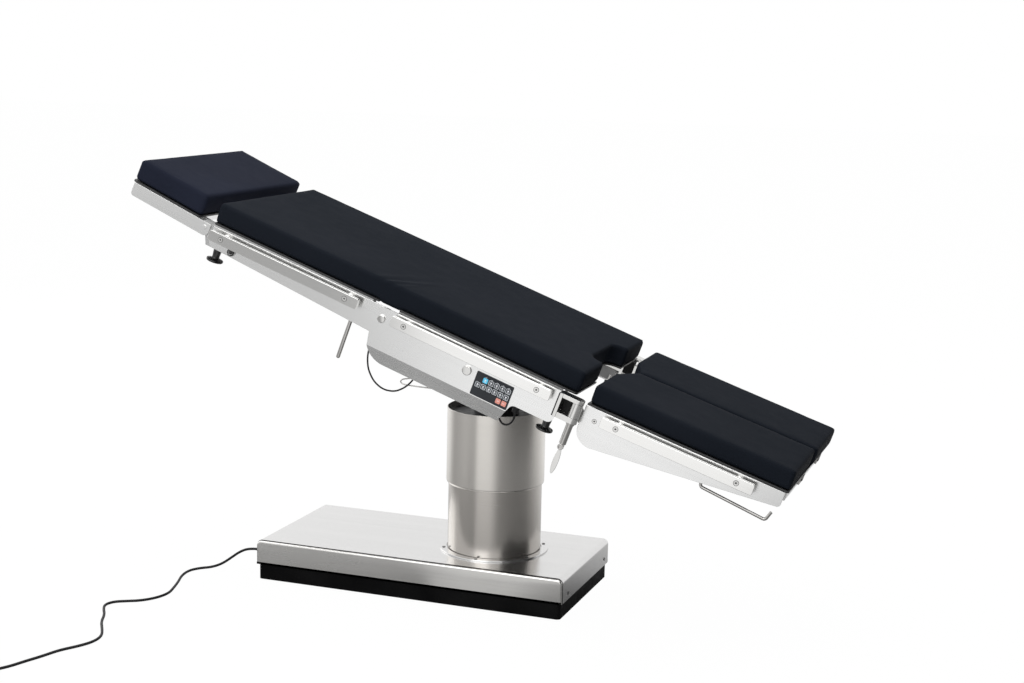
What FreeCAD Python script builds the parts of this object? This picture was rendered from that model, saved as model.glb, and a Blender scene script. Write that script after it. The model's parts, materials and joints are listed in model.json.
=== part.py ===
import FreeCAD, Part
import math
import os
import Sketcher
from FreeCAD import Placement, Rotation, Vector

# Operating table: a floor-standing base, a telescopic lifting column and a padded top in five
# sections. The table stands head end low on -X and foot end on +X, with the top tilted head up.
# The near side is -Y, and the keypad is on it.

doc = FreeCAD.newDocument("OperatingTable")

# Driving dimensions in millimetres and degrees. Heights in a tilted section are measured along
# its own normal, from the line of the hinge bolts that join the back to the seat.
SIZES = {
    # Frame: the column's axis ahead of the origin, and the tilt of each section
    "column_x": 44.92,
    "tilt_axis_x": 22,
    "tilt_axis_z": 650,
    "seat_tilt": 20,
    "head_tilt": 4,
    "leg_tilt": -1.4,
    # Clearances: a running pin, a piece that floats beside another, a bolt in a plain hole
    "running_gap": 0.05,
    "seat_gap": 0.3,
    "bolt_gap": 0.3,
    # Base
    "base_back": 615,
    "base_front": 264,
    "base_half_width": 208.5,
    "foot_height": 4,
    "foot_radius": 17,
    "foot_inset": 42,
    "plinth_inset": 6,
    "plinth_corner": 10,
    "cover_bottom": 46,
    "cover_top": 113,
    "cover_sheet": 2,
    "cover_bend": 15,
    "chassis_step": 6,
    "power_start": "=base_back - 55",
    "power_length": 230,
    "power_half_width": 120,
    "power_height": 50,
    "motor_radius": 24,
    "motor_length": 120,
    # Column: fixed lower sleeve, hidden middle sleeve, moving upper sleeve and the lift cylinder
    "lower_radius": 126,
    "lower_top": 300,
    "middle_radius": 122,
    "middle_bottom": 150,
    "middle_top": 386,
    "upper_radius": 132,
    "upper_bottom": 297,
    "upper_top": 502,
    "sleeve_wall": 2,
    "lip_height": 7,
    "flange_gap": 2.5,
    "flange_radius": 147,
    "flange_height": 4,
    "ram_radius": 30,
    "stage_radius": 42,
    "cylinder_radius": 50,
    "cylinder_top": 290,
    "stage_bottom": 140,
    "web_thickness": 6,
    "ram_bottom": 230,
    # Column head: fork for the cross that tilts the top sideways and lengthways
    "head_disc_z": 476,
    "head_disc_height": 10,
    "head_boss_radius": 60,
    "fork_floor": 545,
    "fork_half_width": 35,
    "fork_inner": 58,
    "fork_outer": 74,
    "fork_above_axis": 15,
    "cross_half_length": 40,
    "cross_half_width": 30,
    "cross_half_height": 22,
    "roll_shaft_radius": 14,
    "pitch_shaft_radius": 15,
    # Widths of the top: half the pad, and the layers of each side wall counted from the pad's side
    "pad_half_width": 270,
    "eye_inner": "=pad_half_width - 20",
    "eye_outer": "=pad_half_width - 10",
    "frame_inner": "=pad_half_width - 8",
    "frame_outer": "=pad_half_width",
    "panel_inner": "=frame_outer + 2",
    "panel_outer": "=frame_outer + 5",
    "seat_cover_inner": "=panel_outer + 1",
    "seat_cover_outer": "=panel_outer + 4",
    "rail_inner": "=seat_cover_outer + 10",
    "rail_outer": "=seat_cover_outer + 20",
    "rail_height": 28,
    "rail_corner": 4,
    "rail_boss_radius": 11,
    "plate_bottom": 35,
    "plate_thickness": 5,
    "plate_overhang": 2,
    "plate_corner": 8,
    "pad_thickness": 54,
    "pad_corner": 12,
    "pad_edge": 7,
    "member_bottom": 12,
    "member_height": 22,
    "member_width": 25,
    # Seat section, from the hinge bolt towards the foot
    "pitch_along": 260,
    "pitch_drop": 26,
    "bend_half": 110,
    "seat_pad_end": 545,
    "seat_plate_start": 36,
    "notch_depth": 40,
    "notch_half_width": 108,
    "notch_round": 34,
    "seat_frame_end": 505,
    "seat_member_ahead": 40,
    "clip_half": 8,
    "clip_height": 12,
    "clip_tall": 22,
    "clip_inset": 26,
    "seat_frame_drop": 78,
    "seat_frame_rise": 50,
    "hinge_eye": 24,
    "hinge_bolt_radius": 8,
    "cover_end": 511.5,
    "cover_rise": 31,
    "cover_drop": 58,
    "bevel_top": 80,
    "bevel_bottom": 121,
    "bevel_in": 26,
    "bevel_foot_end": 372,
    "notch_start": 400,
    "cover_toe_radius": 50,
    "seat_rail_start": 31,
    "seat_rail_end": 488,
    "seat_rail_top": 25.5,
    "rail_screw_inset": 38,
    "keypad_start": "=pitch_along + 27",
    "keypad_top": 14,
    "keypad_length": 104,
    "keypad_depth": 63.5,
    "keypad_thickness": 1.6,
    "key_size": 12.5,
    "key_pitch": 16.2,
    "key_row": 17,
    "key_height": 0.5,
    "bolt_head_radius": 11,
    "cap_head_radius": 13,
    "cap_spigot_radius": 10,
    "bolt_head_height": 5.5,
    "drive_start": 80,
    "drive_length": 58,
    "drive_half_width": 55,
    "drive_bottom": 50,
    # Leg hinge: fork on the seat, knuckle that swings outwards, clamp below it
    "spread_x": 560,
    "spread_y": "=frame_outer + 25",
    "fork_plate_start": 513,
    "fork_plate_thickness": 8,
    "fork_plate_outer": "=spread_y + 17",
    "fork_top": 36,
    "fork_upper": 26,
    "fork_lower": 13,
    "fork_bottom": 27,
    "fork_barrel": 15,
    "spread_pin_radius": 7,
    "tongue_start": 440,
    "tongue_inner": "=frame_inner - 13",
    "tongue_half_height": 12,
    "knuckle_gap": 0.5,
    "knuckle_arm_inner": "=frame_outer - 15",
    "knuckle_arm_outer": "=frame_outer + 1",
    "knuckle_eye": 20,
    "flex_pin_radius": 10,
    "clamp_radius": 9,
    "clamp_collar": 11,
    "clamp_length": 58,
    "clamp_fork": 15,
    "clamp_slot": 5,
    "clamp_pin_radius": 2.5,
    "blade_thickness": 4.4,
    "blade_length": 82,
    "blade_root": 12,
    "blade_tip": 15,
    # Screw knobs under the seat and the back
    "knob_y": "=tongue_inner + 6.5",
    "seat_knob_x": 494,
    "back_knob_x": 504,
    "knob_disc_radius": 23,
    "knob_neck_radius": 9.5,
    "knob_spindle_radius": 5,
    "knob_disc_height": 8,
    "knob_neck_height": 28,
    # Back section, from the hinge bolt towards the head
    "back_pad_end": 533.4,
    "back_plate_gap": 25,
    "back_plate_end": 530,
    "back_bar_start": 40,
    "back_bar_bottom": 26,
    "back_member_step": 205,
    "back_panel_end": 527,
    "back_panel_top": 31,
    "back_panel_heel": 46,
    "back_rail_start": 68,
    "back_rail_end": 523,
    "head_hinge_x": 552,
    "head_hinge_z": 17,
    "head_eye": 18,
    "socket_x": 456,
    "socket_z": 14,
    "socket_radius": 6,
    "socket_ring_radius": 10,
    "socket_ring_height": 6,
    "socket_depth": 19,
    "lever_x": 93,
    "lever_z": 20,
    "lever_y": "=eye_inner - 11",
    "lever_radius": 5.5,
    "lever_hub_radius": 12,
    "lever_length": 135,
    # Head section, from its hinge
    "head_pad_start": 24,
    "head_pad_length": 219,
    "head_pad_thickness": 58,
    "head_panel_end": 235,
    "head_panel_top": 14,
    "head_panel_bottom": 22,
    "head_bar_bottom": 8,
    "head_eye_inner": "=eye_inner - 14",
    "head_eye_outer": "=eye_inner - 2",
    "head_pin_radius": 6,
    # Leg sections, from the head-side lower edge of the pad
    "leg_start": 577,
    "leg_rise": 22,
    "leg_pad_length": 532,
    "leg_pad_top": 58,
    "leg_board_top": 8,
    "leg_parting": 1.5,
    "leg_chamfer_along": 36,
    "leg_chamfer_across": 95,
    "leg_cheek_end": 526,
    "leg_cheek_heel": 103,
    "leg_cheek_toe": 36,
    "leg_heel_radius": 42,
    "leg_cheek_inner": "=pad_half_width + 3",
    "leg_cheek_outer": "=pad_half_width + 6",
    "flex_x": 34,
    "flex_z": 60,
    "leg_spacer_near": 90,
    "leg_spacer_far": 400,
    "leg_member_start": 120,
    "leg_member_gap": 80,
    "leg_end_gap": 18,
    "leg_member_drop": 27,
    "leg_member_edge": 10,
    "leg_bar_inner": "=pad_half_width - 30",
    "leg_bar_outer": "=pad_half_width - 16",
    "leg_rail_start": 51,
    "leg_rail_end": 456,
    "leg_rail_top": 3,
    "release_x": 325,
    "release_z": 30,
    "release_y": "=pad_half_width - 8",
    "release_radius": 4,
    "release_length": 186,
    "release_drop": 43,
    "release_slope": 10,
    "release_hook": 14,
    "release_hub_radius": 10,
    "release_hub_width": 7,
    # Mains cord
    "cord_radius": 3.5,
    "inlet_y": 155,
    "inlet_z": 70,
    "inlet_length": 25,
    "inlet_radius": 12,
    "coil_x": 911,
    "coil_y": 1094,
    "coil_mean_radius": 38.5,
    "coil_half_width": 14.3,
    "coil_height": 14.5,
    "plug_away": 40,
    "plug_across": 49.3,
    "plug_radius": 18,
    "plug_length": 46,
    "plug_boot_radius": 5.5,
    "plug_pin_radius": 2.4,
    "plug_pin_length": 19,
    # Short cables under the seat
    "cable_radius": 2.2,
    "lead_radius": 2.5,
    "gland_radius": 9,
}

sheet = doc.addObject("Spreadsheet::Sheet", "sizes")
for row, (alias, value) in enumerate(SIZES.items(), start=1):
    sheet.set(f"A{row}", alias)
    sheet.set(f"B{row}", str(value))
    sheet.setAlias(f"B{row}", alias)
doc.recompute()


class Size:
    """A number together with the sheet expression that it comes from."""

    def __init__(self, value, text=None):
        self.value = float(value)
        self.text = text or repr(self.value)

    def combined(self, sign, other, value):
        return Size(value, f"({self.text} {sign} {other.text})")

    def __add__(self, other):
        other = as_size(other)
        return self.combined("+", other, self.value + other.value)

    def __radd__(self, other):
        return as_size(other) + self

    def __sub__(self, other):
        other = as_size(other)
        return self.combined("-", other, self.value - other.value)

    def __rsub__(self, other):
        return as_size(other) - self

    def __mul__(self, other):
        other = as_size(other)
        return self.combined("*", other, self.value * other.value)

    def __rmul__(self, other):
        return as_size(other) * self

    def __truediv__(self, other):
        other = as_size(other)
        return self.combined("/", other, self.value / other.value)

    def __neg__(self):
        return as_size(-1) * self


class Sheet:
    """The sheet's cells by name, each as a Size."""

    def __getattr__(self, alias):
        return Size(sheet.get(alias), f"sizes.{alias}")


def as_size(number):
    return number if isinstance(number, Size) else Size(number)


def cosine(angle):
    return Size(math.cos(math.radians(angle.value)), f"cos({angle.text})")


def sine(angle):
    return Size(math.sin(math.radians(angle.value)), f"sin({angle.text})")


def bind(item, path, amount):
    item.setExpression(path, as_size(amount).text)


S = Sheet()


class Section:
    """A part of the table with its own origin and tilt. Positive tilt lifts the head side."""

    def __init__(self, x, z, tilt):
        self.x = as_size(x)
        self.z = as_size(z)
        self.tilt = as_size(tilt)

    def world(self, along, up):
        """Row frame X and Z of a point given along the section and up its normal."""
        along = as_size(along)
        up = as_size(up)
        x = self.x + along * cosine(self.tilt) + up * sine(self.tilt)
        z = self.z - along * sine(self.tilt) + up * cosine(self.tilt)
        return x, z

    def child(self, along, up, tilt):
        x, z = self.world(along, up)
        return Section(x, z, self.tilt + tilt)

    def place(self, item, along=0, across=0, up=0):
        """Bind an object's Placement to a point of this section."""
        x, z = self.world(along, up)
        across = as_size(across)
        item.Placement = Placement(Vector(x.value, across.value, z.value),
                                   Rotation(Vector(0, 1, 0), self.tilt.value or 1e-9))
        bind(item, ".Placement.Base.x", x)
        bind(item, ".Placement.Base.y", across)
        bind(item, ".Placement.Base.z", z)
        if self.tilt.value:
            bind(item, ".Placement.Rotation.Angle", self.tilt)


ground = Section(S.column_x, 0, 0)
bolt_x = S.tilt_axis_x - S.pitch_along * cosine(S.seat_tilt) + S.pitch_drop * sine(S.seat_tilt)
bolt_z = S.tilt_axis_z + S.pitch_along * sine(S.seat_tilt) + S.pitch_drop * cosine(S.seat_tilt)
seat = Section(S.column_x + bolt_x, bolt_z, S.seat_tilt)
head = seat.child(-S.head_hinge_x, S.head_hinge_z, S.head_tilt)
leg = seat.child(S.leg_start, S.leg_rise, S.leg_tilt)
flex_along = S.leg_start + S.flex_x * cosine(S.leg_tilt) - S.flex_z * sine(S.leg_tilt)
flex_up = S.leg_rise - S.flex_x * sine(S.leg_tilt) - S.flex_z * cosine(S.leg_tilt)

PARTS = []
SIDES = (("near", -1), ("far", 1))


def flank(sign, inner, outer):
    """The low and high Y of a layer that lies inner to outer from the middle plane."""
    inner = as_size(inner)
    outer = as_size(outer)
    return (-outer, -inner) if sign < 0 else (inner, outer)


def new_body(name, section, along=0, across=0, up=0):
    body = doc.addObject("PartDesign::Body", name)
    body.Label = name
    body.AllowCompound = True
    section.place(body, along, across, up)
    PARTS.append(body)
    return body


def tip_size(body):
    return body.Tip.Shape.Volume if body.Tip and body.Tip.Shape else 0.0


def new_sketch(body, plane, offset):
    """A sketch on an origin plane, moved along the plane's normal (XZ's normal is -Y)."""
    sketch = body.newObject("Sketcher::SketchObject", body.Label + "_outline")
    support = [item for item in body.Origin.OriginFeatures if item.Role == plane + "_Plane"][0]
    sketch.AttachmentSupport = [(support, "")]
    sketch.MapMode = "FlatFace"
    bind(sketch, ".AttachmentOffset.Base.z", offset)
    return sketch


def hold(sketch, geometry, point, across, up):
    """Fix a sketch point at a distance from the sketch's origin."""
    for kind, amount in (("DistanceX", as_size(across)), ("DistanceY", as_size(up))):
        index = sketch.addConstraint(
            Sketcher.Constraint(kind, -1, 1, geometry, point, amount.value))
        bind(sketch, f"Constraints[{index}]", amount)


def draw_polygon(sketch, corners):
    corners = [(as_size(u), as_size(v)) for u, v in corners]
    first = sketch.GeometryCount
    count = len(corners)
    for index in range(count):
        start = corners[index]
        end = corners[(index + 1) % count]
        sketch.addGeometry(Part.LineSegment(Vector(start[0].value, start[1].value, 0),
                                            Vector(end[0].value, end[1].value, 0)), False)
    for index in range(count):
        following = first + (index + 1) % count
        sketch.addConstraint(Sketcher.Constraint("Coincident", first + index, 2, following, 1))
    for index, (u, v) in enumerate(corners):
        hold(sketch, first + index, 1, u, v)


def draw_circle(sketch, centre, radius):
    u, v = as_size(centre[0]), as_size(centre[1])
    radius = as_size(radius)
    middle = Vector(u.value, v.value, 0)
    index = sketch.addGeometry(Part.Circle(middle, Vector(0, 0, 1), radius.value), False)
    hold(sketch, index, 3, u, v)
    rim = sketch.addConstraint(Sketcher.Constraint("Radius", index, radius.value))
    bind(sketch, f"Constraints[{rim}]", radius)


def pad(body, plane, low, high, polygons=(), circles=()):
    """Add outlines drawn on a plane, as thick as low to high along that plane's own axis."""
    low, high = as_size(low), as_size(high)
    sketch = new_sketch(body, plane, -high if plane == "XZ" else low)
    for corners in polygons:
        draw_polygon(sketch, corners)
    for centre, radius in circles:
        draw_circle(sketch, centre, radius)
    feature = body.newObject("PartDesign::Pad", body.Label + "_pad")
    feature.Profile = sketch
    bind(feature, "Length", high - low)
    doc.recompute()
    body.Tip = feature
    return feature


def drill(body, plane, circles=(), polygons=(), low=None, high=None):
    """Cut outlines through the body, or only between low and high along the plane's axis."""
    before = tip_size(body)
    offset = 0 if low is None else (-as_size(high) if plane == "XZ" else low)
    sketch = new_sketch(body, plane, offset)
    for corners in polygons:
        draw_polygon(sketch, corners)
    for centre, radius in circles:
        draw_circle(sketch, centre, radius)
    feature = body.newObject("PartDesign::Pocket", body.Label + "_cut")
    feature.Profile = sketch
    if low is None:
        feature.Type = "ThroughAll"
        feature.SideType = "Symmetric"
    else:
        feature.Reversed = True
        bind(feature, "Length", as_size(high) - low)
    doc.recompute()
    body.Tip = feature
    if not feature.Shape.Volume < before:
        raise RuntimeError(f"{body.Label}: a cut removed nothing")


AXIS_OF = {"XY": ("x", "y"), "XZ": ("x", "z"), "YZ": ("y", "z")}


def round_corners(body, plane, corners, radius):
    """Round the straight edges that stand on a plane's outline corners."""
    first, second = AXIS_OF[plane]
    names = []
    for index, edge in enumerate(body.Tip.Shape.Edges, start=1):
        if len(edge.Vertexes) != 2:
            continue
        ends = [vertex.Point for vertex in edge.Vertexes]
        for u, v in corners:
            target = (as_size(u).value, as_size(v).value)
            if all(abs(getattr(end, first) - target[0]) < 0.01
                   and abs(getattr(end, second) - target[1]) < 0.01 for end in ends):
                names.append(f"Edge{index}")
    soften(body, names, radius)


def round_level(body, height, radius):
    """Round every edge that lies at one height."""
    level = as_size(height).value
    names = [f"Edge{index}" for index, edge in enumerate(body.Tip.Shape.Edges, start=1)
             if abs(edge.BoundBox.ZMin - level) < 0.01 and abs(edge.BoundBox.ZMax - level) < 0.01]
    soften(body, names, radius)


def soften(body, names, radius):
    if not names:
        raise RuntimeError(f"{body.Label}: no edge to round")
    feature = body.newObject("PartDesign::Fillet", body.Label + "_round")
    feature.Base = (body.Tip if body.Tip != feature else body.Group[-2], names)
    bind(feature, "Radius", radius)
    doc.recompute()
    body.Tip = feature


def turned(name, section, place, profile):
    """A piece turned about its own Z axis, from a closed profile of radius and height."""
    body = new_body(name, section, *place)
    sketch = new_sketch(body, "XZ", 0)
    draw_polygon(sketch, profile)
    feature = body.newObject("PartDesign::Revolution", name + "_turned")
    feature.Profile = sketch
    feature.ReferenceAxis = (sketch, ["V_Axis"])
    feature.Angle = 360
    doc.recompute()
    body.Tip = feature
    return body


def ring(name, section, low, high, outer, inner):
    """A tube that stands on the section's normal."""
    body = new_body(name, section)
    pad(body, "XY", low, high, circles=[((0, 0), outer), ((0, 0), inner)])
    return body


def box_corners(u_low, u_high, v_low, v_high):
    return [(u_low, v_low), (u_high, v_low), (u_high, v_high), (u_low, v_high)]


# Base: a heavy plinth on four feet, a folded cover and its two side panels

def make_base():
    chassis = new_body("base_chassis", ground)
    inset = S.plinth_inset
    outline = box_corners(-S.base_back + inset, S.base_front - inset,
                          -S.base_half_width + inset, S.base_half_width - inset)
    pad(chassis, "XY", S.foot_height, S.cover_bottom, [outline])
    round_corners(chassis, "XY", outline, S.plinth_corner)
    step = box_corners(-S.base_back + S.cover_sheet, S.base_front - S.cover_sheet,
                       -S.base_half_width + S.cover_sheet, S.base_half_width - S.cover_sheet)
    pad(chassis, "XY", S.cover_bottom, S.cover_bottom + S.chassis_step, [step])

    feet = new_body("base_feet", ground)
    spots = [(x, y) for x in (-S.base_back + S.foot_inset, S.base_front - S.foot_inset)
             for y in (-S.base_half_width + S.foot_inset, S.base_half_width - S.foot_inset)]
    pad(feet, "XY", 0, S.foot_height, circles=[(spot, S.foot_radius) for spot in spots])

    cover = new_body("base_cover", ground)
    back, front = -S.base_back, S.base_front
    sheet_in = S.cover_sheet
    outside = [(back, S.cover_top), (front, S.cover_top)]
    inside = [(front - sheet_in, S.cover_top - sheet_in), (back + sheet_in, S.cover_top - sheet_in)]
    profile = [(back, S.cover_bottom), *outside, (front, S.cover_bottom),
               (front - sheet_in, S.cover_bottom), *inside, (back + sheet_in, S.cover_bottom)]
    side = S.base_half_width - sheet_in
    pad(cover, "XZ", -side, side, [profile])
    round_corners(cover, "XZ", outside, S.cover_bend)
    round_corners(cover, "XZ", inside, S.cover_bend - sheet_in)
    drill(cover, "XY", [((0, 0), S.lower_radius + S.flange_gap)])

    panels = new_body("base_side_panels", ground)
    shape = box_corners(back, front, S.cover_bottom, S.cover_top)
    for _, sign in SIDES:
        pad(panels, "XZ", *flank(sign, side, S.base_half_width), [shape])
    round_corners(panels, "XZ", outside, S.cover_bend)

    floor = S.cover_bottom + S.chassis_step
    power = new_body("power_unit", ground)
    case = box_corners(-S.power_start, -S.power_start + S.power_length,
                       -S.power_half_width, S.power_half_width)
    pad(power, "XY", floor, floor + S.power_height, [case])
    motor_start = -S.power_start + S.power_length
    pad(power, "YZ", motor_start, motor_start + S.motor_length,
        circles=[((0, floor + S.motor_radius), S.motor_radius)])
    return floor


# Column: fixed sleeve and cylinder, a middle stage that follows at half speed, and the top stage

def make_column(floor):
    wall = S.sleeve_wall
    ring("lower_sleeve", ground, floor, S.lower_top, S.lower_radius, S.lower_radius - wall)
    ring("column_flange", ground, S.cover_top, S.cover_top + S.flange_height,
         S.flange_radius, S.lower_radius + S.flange_gap)
    ring("lift_cylinder", ground, floor, S.cylinder_top, S.cylinder_radius,
         S.stage_radius + S.running_gap)

    stage_top = S.middle_top - S.web_thickness
    ring("lift_stage", ground, S.stage_bottom, stage_top, S.stage_radius,
         S.ram_radius + S.running_gap)
    turned("middle_sleeve", ground, (), [
        (S.middle_radius - wall, S.middle_bottom), (S.middle_radius, S.middle_bottom),
        (S.middle_radius, S.middle_top), (S.ram_radius + 1, S.middle_top),
        (S.ram_radius + 1, stage_top), (S.middle_radius - wall, stage_top)])

    lip = S.lower_radius + 0.6
    turned("upper_sleeve", ground, (), [
        (lip, S.upper_bottom), (S.upper_radius - 3, S.upper_bottom),
        (S.upper_radius, S.upper_bottom + S.lip_height), (S.upper_radius, S.upper_top),
        (S.upper_radius - wall, S.upper_top), (S.upper_radius - wall, S.upper_bottom + 8),
        (lip, S.upper_bottom + 2)])
    ram = new_body("lift_ram", ground)
    pad(ram, "XY", S.ram_bottom, S.head_disc_z, circles=[((0, 0), S.ram_radius)])

    fork = new_body("column_head", ground)
    disc_top = S.head_disc_z + S.head_disc_height
    pad(fork, "XY", S.head_disc_z, disc_top, circles=[((0, 0), S.upper_radius - wall)])
    foot = S.fork_floor - 35
    pad(fork, "XY", disc_top, foot, circles=[((0, 0), S.head_boss_radius)])
    middle = S.tilt_axis_x
    top = S.tilt_axis_z + S.fork_above_axis
    pad(fork, "XZ", -S.fork_half_width, S.fork_half_width, [[
        (middle - S.fork_outer, foot), (middle + S.fork_outer, foot),
        (middle + S.fork_outer, top), (middle + S.fork_inner, top),
        (middle + S.fork_inner, S.fork_floor), (middle - S.fork_inner, S.fork_floor),
        (middle - S.fork_inner, top), (middle - S.fork_outer, top)]])
    drill(fork, "YZ", [((0, S.tilt_axis_z), S.roll_shaft_radius + S.running_gap)],
          low=middle - S.fork_outer, high=middle + S.fork_outer)

    cross = new_body("tilt_cross", ground)
    block = box_corners(middle - S.cross_half_length, middle + S.cross_half_length,
                        S.tilt_axis_z - S.cross_half_height, S.tilt_axis_z + S.cross_half_height)
    pad(cross, "XZ", -S.cross_half_width, S.cross_half_width, [block])
    pad(cross, "YZ", middle - S.fork_outer, middle + S.fork_outer,
        circles=[((0, S.tilt_axis_z), S.roll_shaft_radius)])
    reach = S.frame_outer - 0.5
    pad(cross, "XZ", -reach, reach, circles=[((middle, S.tilt_axis_z), S.pitch_shaft_radius)])


# Shared forms of the padded top

def rails(name, section, start, end, top, face):
    """Accessory rails on two standing bosses, one on each side of a section."""
    body = new_body(name, section)
    bar = box_corners(start, end, top - S.rail_height, top)
    middle = top - S.rail_height / 2
    spots = [(start + S.rail_screw_inset, middle), (end - S.rail_screw_inset, middle)]
    for _, sign in SIDES:
        pad(body, "XZ", *flank(sign, S.rail_inner, S.rail_outer), [bar])
    round_corners(body, "XZ", bar, S.rail_corner)
    for _, sign in SIDES:
        pad(body, "XZ", *flank(sign, face, S.rail_inner),
            circles=[(spot, S.rail_boss_radius) for spot in spots])
    return body


def notch_outline(start, end, half_width):
    """A slab with the U-shaped cut-out in its foot end."""
    back = S.seat_pad_end - S.notch_depth
    open_half = S.notch_half_width
    return [(start, -half_width), (end, -half_width), (end, -open_half), (back, -open_half),
            (back, open_half), (end, open_half), (end, half_width), (start, half_width)]


def cushion(name, section, outline, low, high, upright, notch=()):
    body = new_body(name, section)
    pad(body, "XY", low, high, [outline])
    if upright:
        round_corners(body, "XY", upright, S.pad_corner)
    if notch:
        round_corners(body, "XY", notch, S.notch_round)
    return body


# Seat section

def make_seat():
    pitch = (S.pitch_along, -S.pitch_drop)
    eye = S.hinge_eye
    frame = new_body("seat_frame", seat)
    side = [(-eye, eye), (S.seat_plate_start, eye), (S.seat_plate_start, S.plate_bottom),
            (S.seat_frame_end, S.plate_bottom), (S.seat_frame_end, -S.seat_frame_rise),
            (S.notch_start, -S.seat_frame_rise), (S.notch_start - 25, -S.seat_frame_drop),
            (0, -S.seat_frame_drop), (-eye, -eye)]
    for _, sign in SIDES:
        pad(frame, "XZ", *flank(sign, S.frame_inner, S.frame_outer), [side])
    round_corners(frame, "XZ", [side[0], side[-1]], eye - 0.5)
    member_top = S.member_bottom + S.member_height
    spans = [S.drive_start - S.member_width, S.drive_start + S.drive_length + 2,
             S.notch_start - S.seat_member_ahead, S.notch_start + S.member_width]
    for start in spans:
        pad(frame, "XZ", -S.frame_inner, S.frame_inner,
            [box_corners(start, start + S.member_width, S.member_bottom, member_top)])
    lug_top = -S.tongue_half_height - 1
    for _, sign in SIDES:
        low, high = flank(sign, S.tongue_inner, S.frame_inner)
        pad(frame, "XZ", low, high,
            [box_corners(S.seat_knob_x - 16, S.seat_frame_end, lug_top - 18, lug_top)])
        drill(frame, "XY", [((S.seat_knob_x, S.knob_y * sign), S.knob_spindle_radius + 0.05)],
              low=lug_top - 18, high=lug_top)
    drill(frame, "XZ", [((0, 0), S.hinge_bolt_radius + S.running_gap),
                        (pitch, S.pitch_shaft_radius + S.running_gap)])
    clip = flank(-1, S.frame_inner - S.clip_inset, S.frame_inner)
    for (x, z), tall in ((LOOP_ROUTE[0], S.clip_height), (LOOP_ROUTE[-1], S.clip_tall)):
        pad(frame, "XZ", *clip, [box_corners(x - S.clip_half, x + S.clip_half,
                                             z + 0.8, z + 0.8 + tall)])

    top = [(-eye - 1, S.cover_rise), (S.cover_end, S.cover_rise), (S.cover_end, -S.cover_drop),
           (S.notch_start, -S.cover_drop), (S.bevel_foot_end, -S.bevel_bottom),
           (-8, -S.bevel_bottom), (-eye - 1, -eye)]
    for side_name, sign in SIDES:
        outline = new_body(f"seat_cover_{side_name}_outline", seat)
        PARTS.pop()
        deep = flank(sign, S.seat_cover_outer - S.bevel_in - 12, S.seat_cover_outer + 5)
        pad(outline, "XZ", *deep, [top])
        round_corners(outline, "XZ", [top[0]], eye)
        round_corners(outline, "XZ", [top[2], top[3]], 16)
        round_corners(outline, "XZ", [top[5]], S.cover_toe_radius)
        folded = new_body(f"seat_cover_{side_name}_sheet", seat)
        PARTS.pop()
        outer, inner = S.seat_cover_outer * sign, S.seat_cover_inner * sign
        turn = S.bevel_in * sign
        pad(folded, "YZ", -eye - 1, S.cover_end, [[
            (outer, S.cover_rise), (outer, -S.bevel_top), (outer - turn, -S.bevel_bottom),
            (inner - turn, -S.bevel_bottom), (inner, -S.bevel_top), (inner, S.cover_rise)]])
        drill(folded, "XZ", [((0, 0), S.hinge_bolt_radius + S.bolt_gap),
                             (pitch, S.cap_spigot_radius + S.bolt_gap)])
        cover = doc.addObject("Part::MultiCommon", f"seat_cover_{side_name}")
        cover.Label = f"seat_cover_{side_name}"
        cover.Shapes = [folded, outline]
        PARTS.append(cover)

    keypad = new_body("keypad", seat)
    face = -S.seat_cover_outer
    start, roof = S.keypad_start, -S.keypad_top
    slab = box_corners(start, start + S.keypad_length, roof - S.keypad_depth, roof)
    pad(keypad, "XZ", face - S.keypad_thickness, face, [slab])
    round_corners(keypad, "XZ", slab, 3)
    rows = ((0, range(1, 6)), (1, range(6)), (2, range(4, 6)))
    first_x = start + 12
    first_z = roof - 16
    keys = []
    for level, columns in rows:
        for column in columns:
            x = first_x + S.key_pitch * column
            z = first_z - S.key_row * level
            half = S.key_size / 2
            keys.append(box_corners(x - half, x + half, z - half, z + half))
    outer_face = face - S.keypad_thickness
    pad(keypad, "XZ", outer_face - S.key_height, outer_face, keys)

    board = new_body("seat_plate", seat)
    half = S.pad_half_width + S.plate_overhang
    slab = notch_outline(S.seat_plate_start, S.seat_pad_end - 2, half)
    pad(board, "XY", S.plate_bottom, S.plate_bottom + S.plate_thickness, [slab])
    round_corners(board, "XY", [slab[1], slab[6]], S.plate_corner)
    round_corners(board, "XY", [slab[3], slab[4]], S.notch_round)

    low = S.plate_bottom + S.plate_thickness + S.seat_gap
    high = low + S.pad_thickness
    slab = notch_outline(S.bend_half + S.seat_gap, S.seat_pad_end, S.pad_half_width)
    seat_pad = cushion("seat_pad", seat, slab, low, high, [slab[1], slab[6]], [slab[3], slab[4]])
    round_level(seat_pad, high, S.pad_edge)
    slab = box_corners(-S.bend_half, S.bend_half, -S.pad_half_width, S.pad_half_width)
    bend = cushion("torso_bend_pad", seat, slab, low, high, ())
    round_corners(bend, "XZ", [(-S.bend_half, high), (S.bend_half, high)], 1)

    bolts = new_body("pivot_bolts", seat)
    cover_face = S.seat_cover_outer
    for _, sign in SIDES:
        pad(bolts, "XZ", *flank(sign, S.eye_inner - 1, cover_face),
            circles=[((0, 0), S.hinge_bolt_radius)])
        pad(bolts, "XZ", *flank(sign, S.frame_outer, cover_face),
            circles=[(pitch, S.cap_spigot_radius)])
        head_layer = flank(sign, cover_face, cover_face + S.bolt_head_height)
        pad(bolts, "XZ", *head_layer,
            circles=[((0, 0), S.bolt_head_radius), (pitch, S.cap_head_radius)])

    rails("seat_rails", seat, S.seat_rail_start, S.seat_rail_end, S.seat_rail_top, cover_face)

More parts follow.
